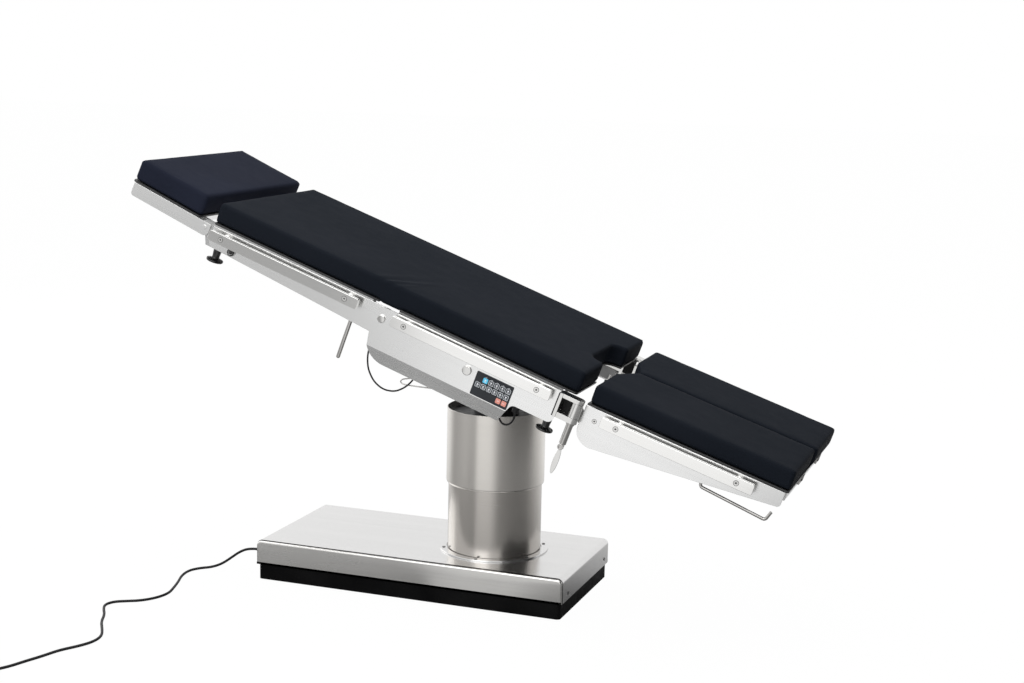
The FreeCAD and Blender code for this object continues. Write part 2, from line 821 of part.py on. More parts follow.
    drive = new_body("back_drive", seat)
    case = box_corners(S.drive_start, S.drive_start + S.drive_length,
                       -S.drive_bottom, S.member_bottom + S.member_height)
    pad(drive, "XZ", -S.drive_half_width, S.drive_half_width, [case])
    round_corners(drive, "XZ", [case[0], case[1]], 10)
    return low, high


# Leg hinge on the seat: fork, knuckle and screw clamp, on both sides

def make_leg_hinges():
    end = S.fork_plate_start
    plate_end = end + S.fork_plate_thickness
    barrel_end = S.spread_x + S.fork_barrel
    for name, sign in SIDES:
        axis = (S.spread_x, S.spread_y * sign)
        barrel = flank(sign, S.spread_y - S.fork_barrel, S.spread_y + S.fork_barrel)
        bracket = new_body(f"leg_bracket_{name}", seat)
        inner, outer = S.tongue_inner * sign, S.fork_plate_outer * sign
        notch = (S.pad_half_width + S.plate_overhang + 1) * sign
        pad(bracket, "YZ", end, plate_end, [[
            (inner, -S.fork_bottom), (outer, -S.fork_bottom), (outer, S.fork_top),
            (notch, S.fork_top), (notch, S.plate_bottom - S.seat_gap),
            (inner, S.plate_bottom - S.seat_gap)]])
        arm = box_corners(plate_end, barrel_end, *barrel)
        for under, over in ((S.fork_upper, S.fork_top), (-S.fork_bottom, -S.fork_lower)):
            pad(bracket, "XY", under, over, [arm])
        round_corners(bracket, "XY", [arm[1], arm[2]], S.fork_barrel - 0.2)
        pad(bracket, "XY", -S.fork_lower, S.fork_upper, circles=[(axis, S.spread_pin_radius)])
        half = S.tongue_half_height
        tongue = flank(sign, S.tongue_inner, S.frame_inner - S.seat_gap)
        pad(bracket, "XZ", *tongue, [box_corners(S.tongue_start, end, -half, half)])

        knuckle = new_body(f"leg_knuckle_{name}", seat)
        bottom, top = -S.fork_lower + S.knuckle_gap, S.fork_upper - S.knuckle_gap
        pad(knuckle, "XY", bottom, top, circles=[(axis, S.fork_barrel - 0.3)])
        flex = (flex_along, flex_up)
        web_top = S.leg_rise - 1
        web = flank(sign, S.knuckle_arm_inner, S.spread_y)
        pad(knuckle, "XZ", *web, [box_corners(S.spread_x - 13, S.spread_x + 2, 6, web_top)])
        layer = flank(sign, S.knuckle_arm_inner, S.knuckle_arm_outer)
        pad(knuckle, "XZ", *layer, [[
            (S.spread_x - 13, web_top), (S.spread_x - 4, web_top), (S.spread_x + 18, -6),
            (flex_along + 12, flex_up + 16), (flex_along - 12, flex_up - 16),
            (S.spread_x - 13, -4)]])
        pad(knuckle, "XZ", *layer, circles=[(flex, S.knuckle_eye)])
        drill(knuckle, "XY", [(axis, S.spread_pin_radius + S.running_gap)],
              low=bottom, high=top)
        drill(knuckle, "XZ", [(flex, S.flex_pin_radius + S.running_gap)])

        collar_top = -S.fork_bottom - S.seat_gap
        shank_end = collar_top - S.clamp_length
        fork_end = shank_end - S.clamp_fork
        stem = new_body(f"clamp_stem_{name}", seat)
        pad(stem, "XY", shank_end, collar_top, circles=[(axis, S.clamp_radius)])
        pad(stem, "XY", collar_top - 5, collar_top, circles=[(axis, S.clamp_collar)])
        half_slot = S.clamp_slot / 2
        for inner, outer in ((-S.clamp_radius, -half_slot), (half_slot, S.clamp_radius)):
            pad(stem, "XY", fork_end, shank_end, [box_corners(
                S.spread_x - 5, S.spread_x + 5, axis[1] + inner, axis[1] + outer)])
        pin_up = shank_end - S.clamp_fork / 2
        pad(stem, "XZ", axis[1] - S.clamp_radius, axis[1] + S.clamp_radius,
            circles=[((S.spread_x, pin_up), S.clamp_pin_radius)])

        blade = new_body(f"clamp_blade_{name}", seat)
        root, tip = S.blade_root / 2, S.blade_tip / 2
        blade_top = shank_end - 2
        blade_end = blade_top - S.blade_length
        shape = [(S.spread_x - 4.5, blade_top), (S.spread_x + 4.5, blade_top),
                 (S.spread_x + root - 1, fork_end - 4), (S.spread_x + tip, blade_end + 22),
                 (S.spread_x + tip - 4, blade_end), (S.spread_x - tip + 4, blade_end),
                 (S.spread_x - tip, blade_end + 22), (S.spread_x - root + 1, fork_end - 4)]
        thick = S.blade_thickness / 2
        pad(blade, "XZ", axis[1] - thick, axis[1] + thick, [shape])
        round_corners(blade, "XZ", [shape[4], shape[5]], 3)
        drill(blade, "XZ", [((S.spread_x, pin_up), S.clamp_pin_radius + S.running_gap)])


# Screw knobs that clamp the leg brackets and the head section's bars

def make_knobs():
    seat_lug = -S.tongue_half_height - S.seat_gap
    back_hole = -S.back_bar_bottom + 14
    places = (("seat", S.seat_knob_x, seat_lug, seat_lug - 40),
              ("back", -S.back_knob_x, back_hole, -S.back_bar_bottom - 1))
    for part, along, top, neck_top in places:
        drop = top - neck_top
        under = drop + S.knob_neck_height
        total = under + S.knob_disc_height
        for name, sign in SIDES:
            turned(f"{part}_knob_{name}", seat, (along, S.knob_y * sign, top), [
                (0, 0), (S.knob_spindle_radius, 0), (S.knob_spindle_radius, -drop),
                (S.knob_neck_radius, -drop), (S.knob_neck_radius - 1, -under + 3),
                (S.knob_disc_radius - 5, -under), (S.knob_disc_radius, -under - 2),
                (S.knob_disc_radius, -total + 2.5), (S.knob_disc_radius - 6, -total), (0, -total)])


# Back section

def make_back(low, high):
    frame = new_body("back_frame", seat)
    eye = S.hinge_eye
    hinge_x, hinge_z = -S.head_hinge_x, S.head_hinge_z
    lug = S.head_eye
    bar = [(-S.back_bar_start, S.plate_bottom), (-S.back_bar_start, -S.back_bar_bottom),
           (hinge_x + 17, -S.back_bar_bottom), (hinge_x + 7, hinge_z - lug),
           (hinge_x - lug, hinge_z - lug), (hinge_x - lug, hinge_z + lug)]
    arm = [(-S.back_bar_start - 20, eye), (-S.back_bar_start - 20, -eye), (eye, -eye), (eye, eye)]
    for _, sign in SIDES:
        pad(frame, "XZ", *flank(sign, S.eye_inner, S.panel_inner), [bar])
        pad(frame, "XZ", *flank(sign, S.eye_inner, S.eye_outer), [arm])
    round_corners(frame, "XZ", [arm[2], arm[3]], eye - 0.2)
    round_corners(frame, "XZ", [bar[4], bar[5]], lug - 0.2)
    first_member = -S.back_bar_start - 55
    for start in (first_member, first_member - S.back_member_step,
                  first_member - S.back_member_step * 2 + 5):
        pad(frame, "XZ", -S.eye_inner, S.eye_inner, [box_corners(
            start, start + S.member_width, S.member_bottom, S.member_bottom + S.member_height)])
    drill(frame, "XZ", [((0, 0), S.hinge_bolt_radius + S.running_gap),
                        ((hinge_x, hinge_z), S.head_pin_radius + S.running_gap)])
    for _, sign in SIDES:
        spot = (-S.back_knob_x, S.knob_y * sign)
        drill(frame, "XY", [(spot, S.knob_spindle_radius + 0.05)],
              low=-S.back_bar_bottom, high=-S.back_bar_bottom + 16)
    socket = (-S.socket_x, -S.socket_z)
    ring_face = S.panel_outer + S.socket_ring_height
    for _, sign in SIDES:
        drill(frame, "XZ", [(socket, S.socket_radius)],
              low=flank(sign, ring_face - S.socket_depth, ring_face)[0],
              high=flank(sign, ring_face - S.socket_depth, ring_face)[1])

    panels = new_body("back_panels", seat)
    tail, crest = -S.back_panel_end, S.back_panel_top
    shape = [(tail, crest), (tail, -S.back_bar_bottom + 1), (-20, -S.back_panel_heel),
             (26, -S.back_panel_heel), (26, crest)]
    for _, sign in SIDES:
        pad(panels, "XZ", *flank(sign, S.panel_inner, S.panel_outer), [shape])
    round_corners(panels, "XZ", [shape[1]], 14)
    round_corners(panels, "XZ", [shape[3], shape[4]], 26)
    for _, sign in SIDES:
        pad(panels, "XZ", *flank(sign, S.panel_outer, ring_face),
            circles=[(socket, S.socket_ring_radius)])
    drill(panels, "XZ", [(socket, S.socket_radius),
                         ((0, 0), S.hinge_bolt_radius + S.bolt_gap)])

    board = new_body("back_plate", seat)
    half = S.panel_inner - 0.5
    slab = box_corners(-S.back_plate_end, -S.back_plate_gap, -half, half)
    pad(board, "XY", S.plate_bottom, S.plate_bottom + S.plate_thickness, [slab])
    round_corners(board, "XY", [slab[0], slab[3]], S.plate_corner)

    slab = box_corners(-S.back_pad_end, -S.bend_half - S.seat_gap,
                       -S.pad_half_width, S.pad_half_width)
    cushion_body = cushion("back_pad", seat, slab, low, high, [slab[0], slab[3]])
    round_level(cushion_body, high, S.pad_edge)

    rails("back_rails", seat, -S.back_rail_end, -S.back_rail_start, S.seat_rail_top,
          S.panel_outer)

    lever = new_body("back_lever", seat)
    hub = (-S.lever_x, -S.lever_z)
    pad(lever, "XZ", -S.eye_inner + S.seat_gap, -S.lever_y + 9,
        circles=[(hub, S.lever_hub_radius)])
    pad(lever, "XY", -S.lever_z - S.lever_length, -S.lever_z,
        circles=[((-S.lever_x, -S.lever_y), S.lever_radius)])


# Head section

def make_head():
    frame = new_body("head_frame", head)
    lug = S.head_eye
    top, bottom = S.head_panel_top, -S.head_panel_bottom
    start, end = -S.head_pad_start, -S.head_panel_end
    eye = [(start - 16, lug - 4), (start - 16, -lug + 6), (lug - 1, -lug + 1), (lug - 1, lug - 4)]
    bar = box_corners(end, start, -S.head_bar_bottom, top)
    cheek = box_corners(end, lug - 2, bottom, top)
    for _, sign in SIDES:
        pad(frame, "XZ", *flank(sign, S.head_eye_inner, S.head_eye_outer), [eye])
        pad(frame, "XZ", *flank(sign, S.head_eye_inner, S.panel_inner), [bar])
        pad(frame, "XZ", *flank(sign, S.panel_inner, S.panel_outer), [cheek])
    round_corners(frame, "XZ", [cheek[0]], 9)
    round_corners(frame, "XZ", [cheek[1]], 15)
    for near_end in (end + 8, start - 30):
        pad(frame, "XZ", -S.head_eye_inner, S.head_eye_inner,
            [box_corners(near_end, near_end + 18, -S.head_bar_bottom, top)])
    for _, sign in SIDES:
        pad(frame, "XZ", *flank(sign, S.head_eye_inner, S.panel_outer + 2),
            circles=[((0, 0), S.head_pin_radius)])

    half = S.pad_half_width + S.plate_overhang
    board = new_body("head_plate", head)
    slab = box_corners(start - S.head_pad_length, start, -half, half)
    pad(board, "XY", top, top + S.plate_thickness, [slab])
    round_corners(board, "XY", slab, S.plate_corner)

    low = top + S.plate_thickness + S.seat_gap
    high = low + S.head_pad_thickness
    slab = box_corners(start - S.head_pad_length, start, -S.pad_half_width, S.pad_half_width)
    body = cushion("head_pad", head, slab, low, high, slab)
    round_level(body, high, S.pad_edge)


# Leg sections: two alike, mirrored at the table's middle

def leg_outline(sign, length, half_width, parting):
    chamfer_start = parting + S.leg_chamfer_across
    return [(0, half_width * sign), (length, half_width * sign), (length, parting * sign),
            (S.leg_chamfer_along, parting * sign), (0, chamfer_start * sign)]


def make_legs():
    length = S.leg_pad_length
    under = S.leg_board_top - S.plate_thickness
    for name, sign in SIDES:
        frame = new_body(f"leg_frame_{name}", leg)
        cheek = [(-1, under), (-6, -S.leg_cheek_heel), (S.leg_cheek_end, -S.leg_cheek_toe),
                 (S.leg_cheek_end, under)]
        pad(frame, "XZ", *flank(sign, S.leg_cheek_inner, S.leg_cheek_outer), [cheek])
        round_corners(frame, "XZ", [cheek[1]], S.leg_heel_radius)
        round_corners(frame, "XZ", [cheek[2]], 10)
        flex = (S.flex_x, -S.flex_z)
        bar_end = S.leg_cheek_end - 6
        bar = [(S.flex_x - 26, under), (bar_end, under), (bar_end, -S.release_z),
               (S.flex_x + 56, -S.flex_z + 15), (S.flex_x + 24, -S.flex_z - 22),
               (S.flex_x - 22, -S.flex_z - 22)]
        pad(frame, "XZ", *flank(sign, S.leg_bar_inner, S.leg_bar_outer), [bar])
        pad(frame, "XZ", *flank(sign, S.leg_bar_inner, S.leg_cheek_inner),
            circles=[(flex, S.flex_pin_radius)])
        for start in (S.leg_spacer_near, S.leg_spacer_far):
            pad(frame, "XZ", *flank(sign, S.leg_bar_outer, S.leg_cheek_inner),
                [box_corners(start, start + 15, -36, under)])
        for start in (S.leg_member_start, bar_end - S.leg_member_gap, bar_end - S.leg_end_gap):
            pad(frame, "XZ", *flank(sign, S.leg_member_edge, S.leg_bar_inner),
                [box_corners(start, start + S.member_width, -S.leg_member_drop, under)])
        strip = flank(sign, S.leg_member_edge, S.leg_member_edge + 14)
        pad(frame, "XZ", *strip, [box_corners(S.leg_member_start, bar_end + 7,
                                              -S.leg_member_drop, under)])
        pad(frame, "XZ", *flank(sign, S.leg_bar_outer, S.release_y + 6),
            circles=[((S.release_x, -S.release_z), S.release_radius)])

        half = S.pad_half_width + S.plate_overhang
        board = new_body(f"leg_plate_{name}", leg)
        slab = leg_outline(sign, length + 1, half, S.leg_parting + 1.5)
        pad(board, "XY", under, S.leg_board_top, [slab])
        round_corners(board, "XY", [slab[1]], S.plate_corner)

        slab = leg_outline(sign, length, S.pad_half_width, S.leg_parting)
        low = S.leg_board_top + S.seat_gap
        high = S.leg_pad_top + S.seat_gap
        body = cushion(f"leg_pad_{name}", leg, slab, low, high, [slab[0], slab[1]])
        round_corners(body, "XY", [slab[3], slab[4]], 35)
        round_level(body, high, S.pad_edge)

        rail = new_body(f"leg_rail_{name}", leg)
        top = -S.leg_rail_top
        shape = box_corners(S.leg_rail_start, S.leg_rail_end, top - S.rail_height, top)
        middle = top - S.rail_height / 2
        pad(rail, "XZ", *flank(sign, S.rail_inner, S.rail_outer), [shape])
        round_corners(rail, "XZ", shape, S.rail_corner)
        spots = [(S.leg_rail_start + S.rail_screw_inset + 4, middle),
                 (S.leg_rail_end - S.rail_screw_inset - 6, middle)]
        pad(rail, "XZ", *flank(sign, S.leg_cheek_outer, S.rail_inner),
            circles=[(spot, S.rail_boss_radius) for spot in spots])


# Rods and cables swept along straight runs joined by tangent arcs

def tangent_path(points, bend=None):
    """A wire of straight runs and arcs. Without a bend radius, each arc takes what fits."""
    points = [Vector(*point) for point in points]
    edges = []
    radii = []
    here = points[0]
    for before, corner, after in zip(points, points[1:], points[2:]):
        inward = (corner - before).normalize()
        outward = (after - corner).normalize()
        turn = inward.getAngle(outward)
        shorter = min((corner - before).Length, (after - corner).Length)
        radius = bend or 0.45 * shorter / math.tan(turn / 2)
        reach = radius * math.tan(turn / 2)
        start = corner - inward * reach
        end = corner + outward * reach
        centre_way = (outward - inward).normalize()
        middle = corner + centre_way * (radius / math.cos(turn / 2) - radius)
        edges.append(Part.LineSegment(here, start).toShape())
        edges.append(Part.Arc(start, middle, end).toShape())
        radii.append(radius)
        here = end
    edges.append(Part.LineSegment(here, points[-1]).toShape())
    return Part.Wire(edges), radii


def swept(points, radius, bend=None):
    path, radii = tangent_path(points, bend)
    start = path.Edges[0]
    direction = start.tangentAt(start.FirstParameter)
    rim = Part.Wire(Part.Circle(start.Vertexes[0].Point, direction, radius).toShape())
    solid = path.makePipeShell([rim], True, True)
    expected = math.pi * radius ** 2 * path.Length
    if abs(solid.Volume / expected - 1) > 0.01:
        raise RuntimeError("a swept rod has lost volume")
    return solid, radii, path.Length


def shaped(name, section, solid, along=0, across=0, up=0):
    feature = doc.addObject("Part::Feature", name)
    feature.Label = name
    feature.Shape = solid
    section.place(feature, along, across, up)
    PARTS.append(feature)
    return feature


def make_release_bars():
    x, z = S.release_x.value, -S.release_z.value
    radius = S.release_radius.value
    for name, sign in SIDES:
        y = S.release_y.value * sign
        far = x + S.release_length.value
        low = z - S.release_drop.value
        route = [(x, y, z - 6), (x + 5, y, low), (far - 7, y, low - S.release_slope.value),
                 (far, y, low + S.release_hook.value)]
        rod = swept(route, radius, bend=radius * 2)[0]
        width = S.release_hub_width.value
        hub = Part.makeCylinder(S.release_hub_radius.value, width, Vector(x, y - width / 2, z),
                                Vector(0, 1, 0))
        bore = Part.makeCylinder(radius + S.running_gap.value, 40, Vector(x, y - 20, z),
                                 Vector(0, 1, 0))
        shaped(f"release_bar_{name}", leg, rod.fuse(hub).cut(bore).removeSplitter())


# Free and short cables: the points are chosen by hand along the drooping run
LOOP_ROUTE = ((-14, -62.8), (-19, -90), (-15, -120), (-2, -150), (24, -174), (56, -183),
              (88, -174), (110, -152), (124, -124), (128, -92.8))
LEAD_ROUTE = ((409, 4, -78), (413, 6, -97), (405, 10, -117), (388, 13, -125), (373, 13, -114),
              (367, 8, -92), (369, 3, -66))
MAINS_ROUTE = ((-640, -155, 70), (-665, -156, 69), (-692, -159, 57), (-716, -165, 38),
               (-742, -171, 19), (-772, -175, 7), (-802, -186, 3.8), (-819, -218, 3.8),
               (-813, -266, 3.8), (-793, -316, 3.8), (-777, -366, 3.8), (-764, -414, 3.8),
               (-775, -460, 3.8), (-800, -494, 3.8), (-831, -512, 3.8), (-858, -529, 3.8),
               (-866, -558, 3.8), (-850, -588, 3.8), (-822, -626, 3.8), (-799, -676, 3.8),
               (-767, -720, 3.8), (-739, -764, 3.8), (-735, -806, 3.8), (-750, -846, 3.8),
               (-776, -888, 3.8), (-789, -938, 3.8), (-806, -984, 3.8), (-819, -1027, 3.8),
               (-843, -1064, 3.8), (-860, -1098, 3.8), (-880, -1127, 3.8))


def make_cables():
    y = -(S.eye_inner.value - 6)
    loop = swept([(x, y, z) for x, z in LOOP_ROUTE], S.cable_radius.value)[0]
    side = -S.frame_inner.value
    lead = swept([(x, side + inset, z) for x, inset, z in LEAD_ROUTE], S.lead_radius.value)[0]
    x, inset, z = LEAD_ROUTE[0]
    gland = Part.makeCylinder(S.gland_radius.value, 28 - S.seat_gap.value,
                              Vector(x, side + inset, z))
    shaped("seat_cables", seat, Part.makeCompound([loop, lead, gland]))

    inlet = new_body("cord_inlet", ground)
    back = -S.base_back
    spot = (-S.inlet_y, S.inlet_z)
    pad(inlet, "YZ", back - S.inlet_length, back, circles=[(spot, S.inlet_radius - 3)])
    pad(inlet, "YZ", back - 8, back, circles=[(spot, S.inlet_radius)])

    cord, radii, length = swept(MAINS_ROUTE, S.cord_radius.value)
    shaped("mains_cord", ground, cord)
    print("cord radii", [round(radius) for radius in radii], "length", round(length))

    middle, half = S.coil_mean_radius, S.coil_half_width
    coil = new_body("mains_coil", ground, -S.coil_x, -S.coil_y)
    pad(coil, "XY", 0, S.coil_height,
        circles=[((0, 0), middle + half), ((0, 0), middle - half)])

    plug = new_body("mains_plug", ground, -S.coil_x - S.plug_away, -S.coil_y - S.plug_across)
    centre = (0, S.plug_radius + 0.2)
    pad(plug, "YZ", -S.plug_length, 0, circles=[(centre, S.plug_radius)])
    pad(plug, "YZ", 0, S.plug_away - 12, circles=[(centre, S.plug_boot_radius)])
    pins = [((spread, centre[1]), S.plug_pin_radius) for spread in (-9.5, 9.5)]
    pad(plug, "YZ", -S.plug_length - S.plug_pin_length, -S.plug_length, circles=pins)


def check_and_write():
    doc.recompute()
    faults = [item.Label for item in doc.Objects
              if "Invalid" in item.State or "Error" in item.State]
    for item in PARTS:
        if item.Shape.isNull() or not item.Shape.isValid() or not item.Shape.Solids:
            faults.append(item.Label)
    if faults:
        raise RuntimeError(f"failed objects: {faults}")
    os.makedirs("parts", exist_ok=True)
    for item in PARTS:
        item.Shape.exportStep(f"parts/{item.Label}.step")
    print(len(PARTS), "nodes written")


base_floor = make_base()
make_column(base_floor)
pad_low, pad_high = make_seat()
make_leg_hinges()
make_knobs()
make_back(pad_low, pad_high)
make_head()
make_legs()
make_release_bars()
make_cables()
check_and_write()
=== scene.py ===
import json
import math

import bpy
from mathutils import Matrix, Vector


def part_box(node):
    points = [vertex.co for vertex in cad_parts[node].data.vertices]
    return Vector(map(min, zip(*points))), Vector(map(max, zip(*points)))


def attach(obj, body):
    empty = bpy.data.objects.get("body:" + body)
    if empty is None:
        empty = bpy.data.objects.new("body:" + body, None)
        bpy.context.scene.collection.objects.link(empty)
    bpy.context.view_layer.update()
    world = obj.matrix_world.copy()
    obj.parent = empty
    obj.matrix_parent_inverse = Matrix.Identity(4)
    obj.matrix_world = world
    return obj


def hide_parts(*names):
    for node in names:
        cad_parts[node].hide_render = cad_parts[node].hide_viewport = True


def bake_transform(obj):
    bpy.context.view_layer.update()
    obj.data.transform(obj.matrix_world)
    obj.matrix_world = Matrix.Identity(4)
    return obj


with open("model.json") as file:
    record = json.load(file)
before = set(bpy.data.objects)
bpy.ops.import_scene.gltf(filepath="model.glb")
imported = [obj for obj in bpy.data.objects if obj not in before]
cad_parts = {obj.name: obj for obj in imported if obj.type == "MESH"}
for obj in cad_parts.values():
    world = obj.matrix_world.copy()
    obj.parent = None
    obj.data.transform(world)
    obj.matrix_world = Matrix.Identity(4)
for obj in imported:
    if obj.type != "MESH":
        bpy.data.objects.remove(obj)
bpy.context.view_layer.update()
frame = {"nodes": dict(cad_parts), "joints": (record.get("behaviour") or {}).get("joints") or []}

# Camera
# It stands on the near side at breast height, about four and a half metres from the column, and looks
# slightly down. Places in this script are in metres, and the column's own axis comes from the frame.
joints = {joint["name"]: joint for joint in frame["joints"]}
tilt_point = Vector(joints["trendelenburg"]["pos_m"])
COLUMN_X = tilt_point.x - 0.022

CAMERA_FROM_COLUMN = Vector((1.5474, -4.1791, 1.4465))
CAMERA_RIGHT = Vector((0.93918, 0.34278, 0.02121))
CAMERA_UP = Vector((-0.07784, 0.15232, 0.98526))
CAMERA_BACK = Vector((0.3345, -0.92699, 0.16973))


def placed(name, data):
    """A new object of its data, in the scene."""
    item = bpy.data.objects.new(name, data)
    bpy.context.collection.objects.link(item)
    return item


camera_data = bpy.data.cameras.new("camera")
camera_data.sensor_width = 36
camera_data.lens = 59.77
camera = placed("camera", camera_data)
camera_turn = Matrix((CAMERA_RIGHT, CAMERA_UP, CAMERA_BACK)).transposed().to_4x4()
camera.matrix_world = Matrix.Translation(CAMERA_FROM_COLUMN + Vector((COLUMN_X, 0, 0))) @ camera_turn
bpy.context.scene.camera = camera


# Mains cord
# A black 7 mm rubber lead leaves the head end of the base, drops to the floor and runs out of the picture
# in loose bends. The rest, outside the view, is a coil of flat turns with a tie and a two-pin plug.
CORD_THICK = 0.007
CORD_LOW = 0.0038
CORD_DROP = (
    (-0.640, -0.155, 0.070), (-0.665, -0.156, 0.069), (-0.692, -0.159, 0.057), (-0.716, -0.165, 0.038),
    (-0.742, -0.171, 0.019), (-0.772, -0.175, 0.007))
CORD_ON_FLOOR = (
    (-0.802, -0.186), (-0.819, -0.218), (-0.813, -0.266), (-0.793, -0.316), (-0.777, -0.366),
    (-0.764, -0.414), (-0.775, -0.460), (-0.800, -0.494), (-0.831, -0.512), (-0.858, -0.529),
    (-0.866, -0.558), (-0.850, -0.588), (-0.822, -0.626), (-0.799, -0.676), (-0.767, -0.720),
    (-0.739, -0.764), (-0.735, -0.806), (-0.750, -0.846), (-0.776, -0.888), (-0.789, -0.938),
    (-0.806, -0.984), (-0.819, -1.027), (-0.843, -1.064))
COIL_CENTRE = Vector((-0.911, -1.094, 0.0))
COIL_OUTER = 0.0493
COIL_INNER = 0.0277
COIL_TURNS_IN = 3.0
COIL_TURNS_UP = 1.165
COIL_START = math.radians(-30.5)
POINTS_PER_TURN = 16


def coil_points():
    """Flat turns inwards on the floor, one turn that climbs at the middle, and flat turns outwards on top."""
    total = COIL_TURNS_IN * 2 + COIL_TURNS_UP
    count = round(total * POINTS_PER_TURN)
    points = []
    for index in range(count + 1):
        turn = total * index / count
        inward = min(turn, COIL_TURNS_IN) / COIL_TURNS_IN
        outward = max(turn - COIL_TURNS_IN - COIL_TURNS_UP, 0) / COIL_TURNS_IN
        climb = min(max(turn - COIL_TURNS_IN, 0) / COIL_TURNS_UP, 1)
        radius = COIL_OUTER - (COIL_OUTER - COIL_INNER) * (inward - outward)
        angle = COIL_START - math.tau * turn
        height = CORD_LOW + CORD_THICK * climb
        points.append(COIL_CENTRE + Vector((math.cos(angle) * radius, math.sin(angle) * radius, height)))
    return points


plug_entry = COIL_CENTRE + Vector((-0.040, -COIL_OUTER, 0.0182))
cord_tail = [COIL_CENTRE + Vector((-0.014, -COIL_OUTER, 0.0118)), plug_entry + Vector((0.014, 0, -0.002)),
             plug_entry + Vector((-0.008, 0, 0))]
route = [Vector(point) for point in CORD_DROP] + [Vector((x, y, CORD_LOW)) for x, y in CORD_ON_FLOOR]
route += coil_points() + cord_tail


def pick(piece):
    """Select one object alone and make it the active one."""
    bpy.ops.object.select_all(action="DESELECT")
    piece.select_set(True)
    bpy.context.view_layer.objects.active = piece


def wire(name, points, thick, sides, steps):
    """A round wire on a smooth curve along its points, as a mesh. Without thickness it is its middle line."""
    data = bpy.data.curves.new(name, "CURVE")
    data.dimensions = "3D"
    data.bevel_depth = thick / 2
    data.bevel_resolution = sides
    data.resolution_u = steps
    data.use_fill_caps = True
    spline = data.splines.new("NURBS")
    spline.points.add(len(points) - 1)
    for item, point in zip(spline.points, points):
        item.co = (*point, 1)
    spline.order_u = 3
    spline.use_endpoint_u = True
    pick(placed(name, data))
    bpy.ops.object.convert(target="MESH")
    return bpy.context.active_object


lead_points = [(point.x + COLUMN_X, point.y, point.z) for point in route]
line = wire("lead_line", lead_points, 0, 5, 5)
bpy.data.objects.remove(line)
mains_lead = wire("mains_lead", lead_points, CORD_THICK, 5, 5)
bpy.ops.object.shade_smooth()
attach(mains_lead, "base")
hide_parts("mains_cord", "mains_coil")


def new_material(name, color, roughness, metallic=0.0, specular=None):
    """A material with one Principled shader, and its node tree and shader for the caller."""
    material = bpy.data.materials.new(name)
    material.use_nodes = True
    shader = material.node_tree.nodes["Principled BSDF"]
    shader.inputs["Base Color"].default_value = (*color, 1)
    shader.inputs["Roughness"].default_value = roughness
    shader.inputs["Metallic"].default_value = metallic
    if specular is not None:
        shader.inputs["Specular IOR Level"].default_value = specular
    material.diffuse_color = (*color, 1)
    return material, material.node_tree, shader


def effect_group(name, inputs, outputs):
    """An empty shader node group with its sockets, for an effect that several materials share."""
    group = bpy.data.node_groups.new(name, "ShaderNodeTree")
    for socket, kind, value in inputs:
        made = group.interface.new_socket(socket, in_out="INPUT", socket_type=kind)
        if value is not None:
            made.default_value = value
    for socket, kind in outputs:
        group.interface.new_socket(socket, in_out="OUTPUT", socket_type=kind)
    start = group.nodes.new("NodeGroupInput")
    end = group.nodes.new("NodeGroupOutput")
    return group, start, end


def feed(tree, socket, value):
    """Give an input a plain value, or a link from another node."""
    if isinstance(value, (int, float)):
        socket.default_value = value
    else:
        tree.links.new(value, socket)


def add_math(tree, operation, first, second):
    """A Math node that takes sockets or plain numbers."""
    node = tree.nodes.new("ShaderNodeMath")
    node.operation = operation
    feed(tree, node.inputs[0], first)
    feed(tree, node.inputs[1], second)
    return node.outputs[0]


def add_noise(tree, vector, scale, detail, roughness=0.55):
    """A Noise node's mask."""
    node = tree.nodes.new("ShaderNodeTexNoise")
    node.inputs["Detail"].default_value = detail
    node.inputs["Roughness"].default_value = roughness
    feed(tree, node.inputs["Vector"], vector)
    feed(tree, node.inputs["Scale"], scale)
    return node.outputs["Fac"]


# Handling marks: soft blotches of a hand's size with a finer mottle in them, for every wiped surface
marks_group, marks_in, marks_out = effect_group(
    "handling_marks",
    [("Vector", "NodeSocketVector", None), ("Size", "NodeSocketFloat", 6.0)],
    [("Blotch", "NodeSocketFloat"), ("Mottle", "NodeSocketFloat")])
marks_group.links.new(add_noise(marks_group, marks_in.outputs["Vector"], marks_in.outputs["Size"], 3.0),
                      marks_out.inputs["Blotch"])
finer = add_math(marks_group, "MULTIPLY", marks_in.outputs["Size"], 9.0)
marks_group.links.new(add_noise(marks_group, marks_in.outputs["Vector"], finer, 5.0),
                      marks_out.inputs["Mottle"])


def place_group(tree, group, turn=(0, 0, 0), **values):
    """Put a shared effect into a material on Object coordinates, turned to the piece's own direction."""
    coordinates = tree.nodes.new("ShaderNodeTexCoord")
    mapping = tree.nodes.new("ShaderNodeMapping")
    mapping.inputs["Rotation"].default_value = turn
    node = tree.nodes.new("ShaderNodeGroup")
    node.node_tree = group
    tree.links.new(coordinates.outputs["Object"], mapping.inputs["Vector"])
    tree.links.new(mapping.outputs["Vector"], node.inputs["Vector"])
    for socket, value in values.items():
        node.inputs[socket].default_value = value
    return node


def ranged(tree, source, low, high, start=0.0, end=1.0):
    """Map a mask onto a range of values."""
    node = tree.nodes.new("ShaderNodeMapRange")
    for socket, value in (("From Min", start), ("From Max", end), ("To Min", low), ("To Max", high)):
        node.inputs[socket].default_value = value
    tree.links.new(source, node.inputs["Value"])
    return node.outputs["Result"]


def mixed(tree, mask, first, second):
    """A colour between two, by a mask."""
    node = tree.nodes.new("ShaderNodeMix")
    node.data_type = "RGBA"
    node.inputs[6].default_value = (*first, 1)
    node.inputs[7].default_value = (*second, 1)
    tree.links.new(mask, node.inputs[0])
    return node.outputs[2]


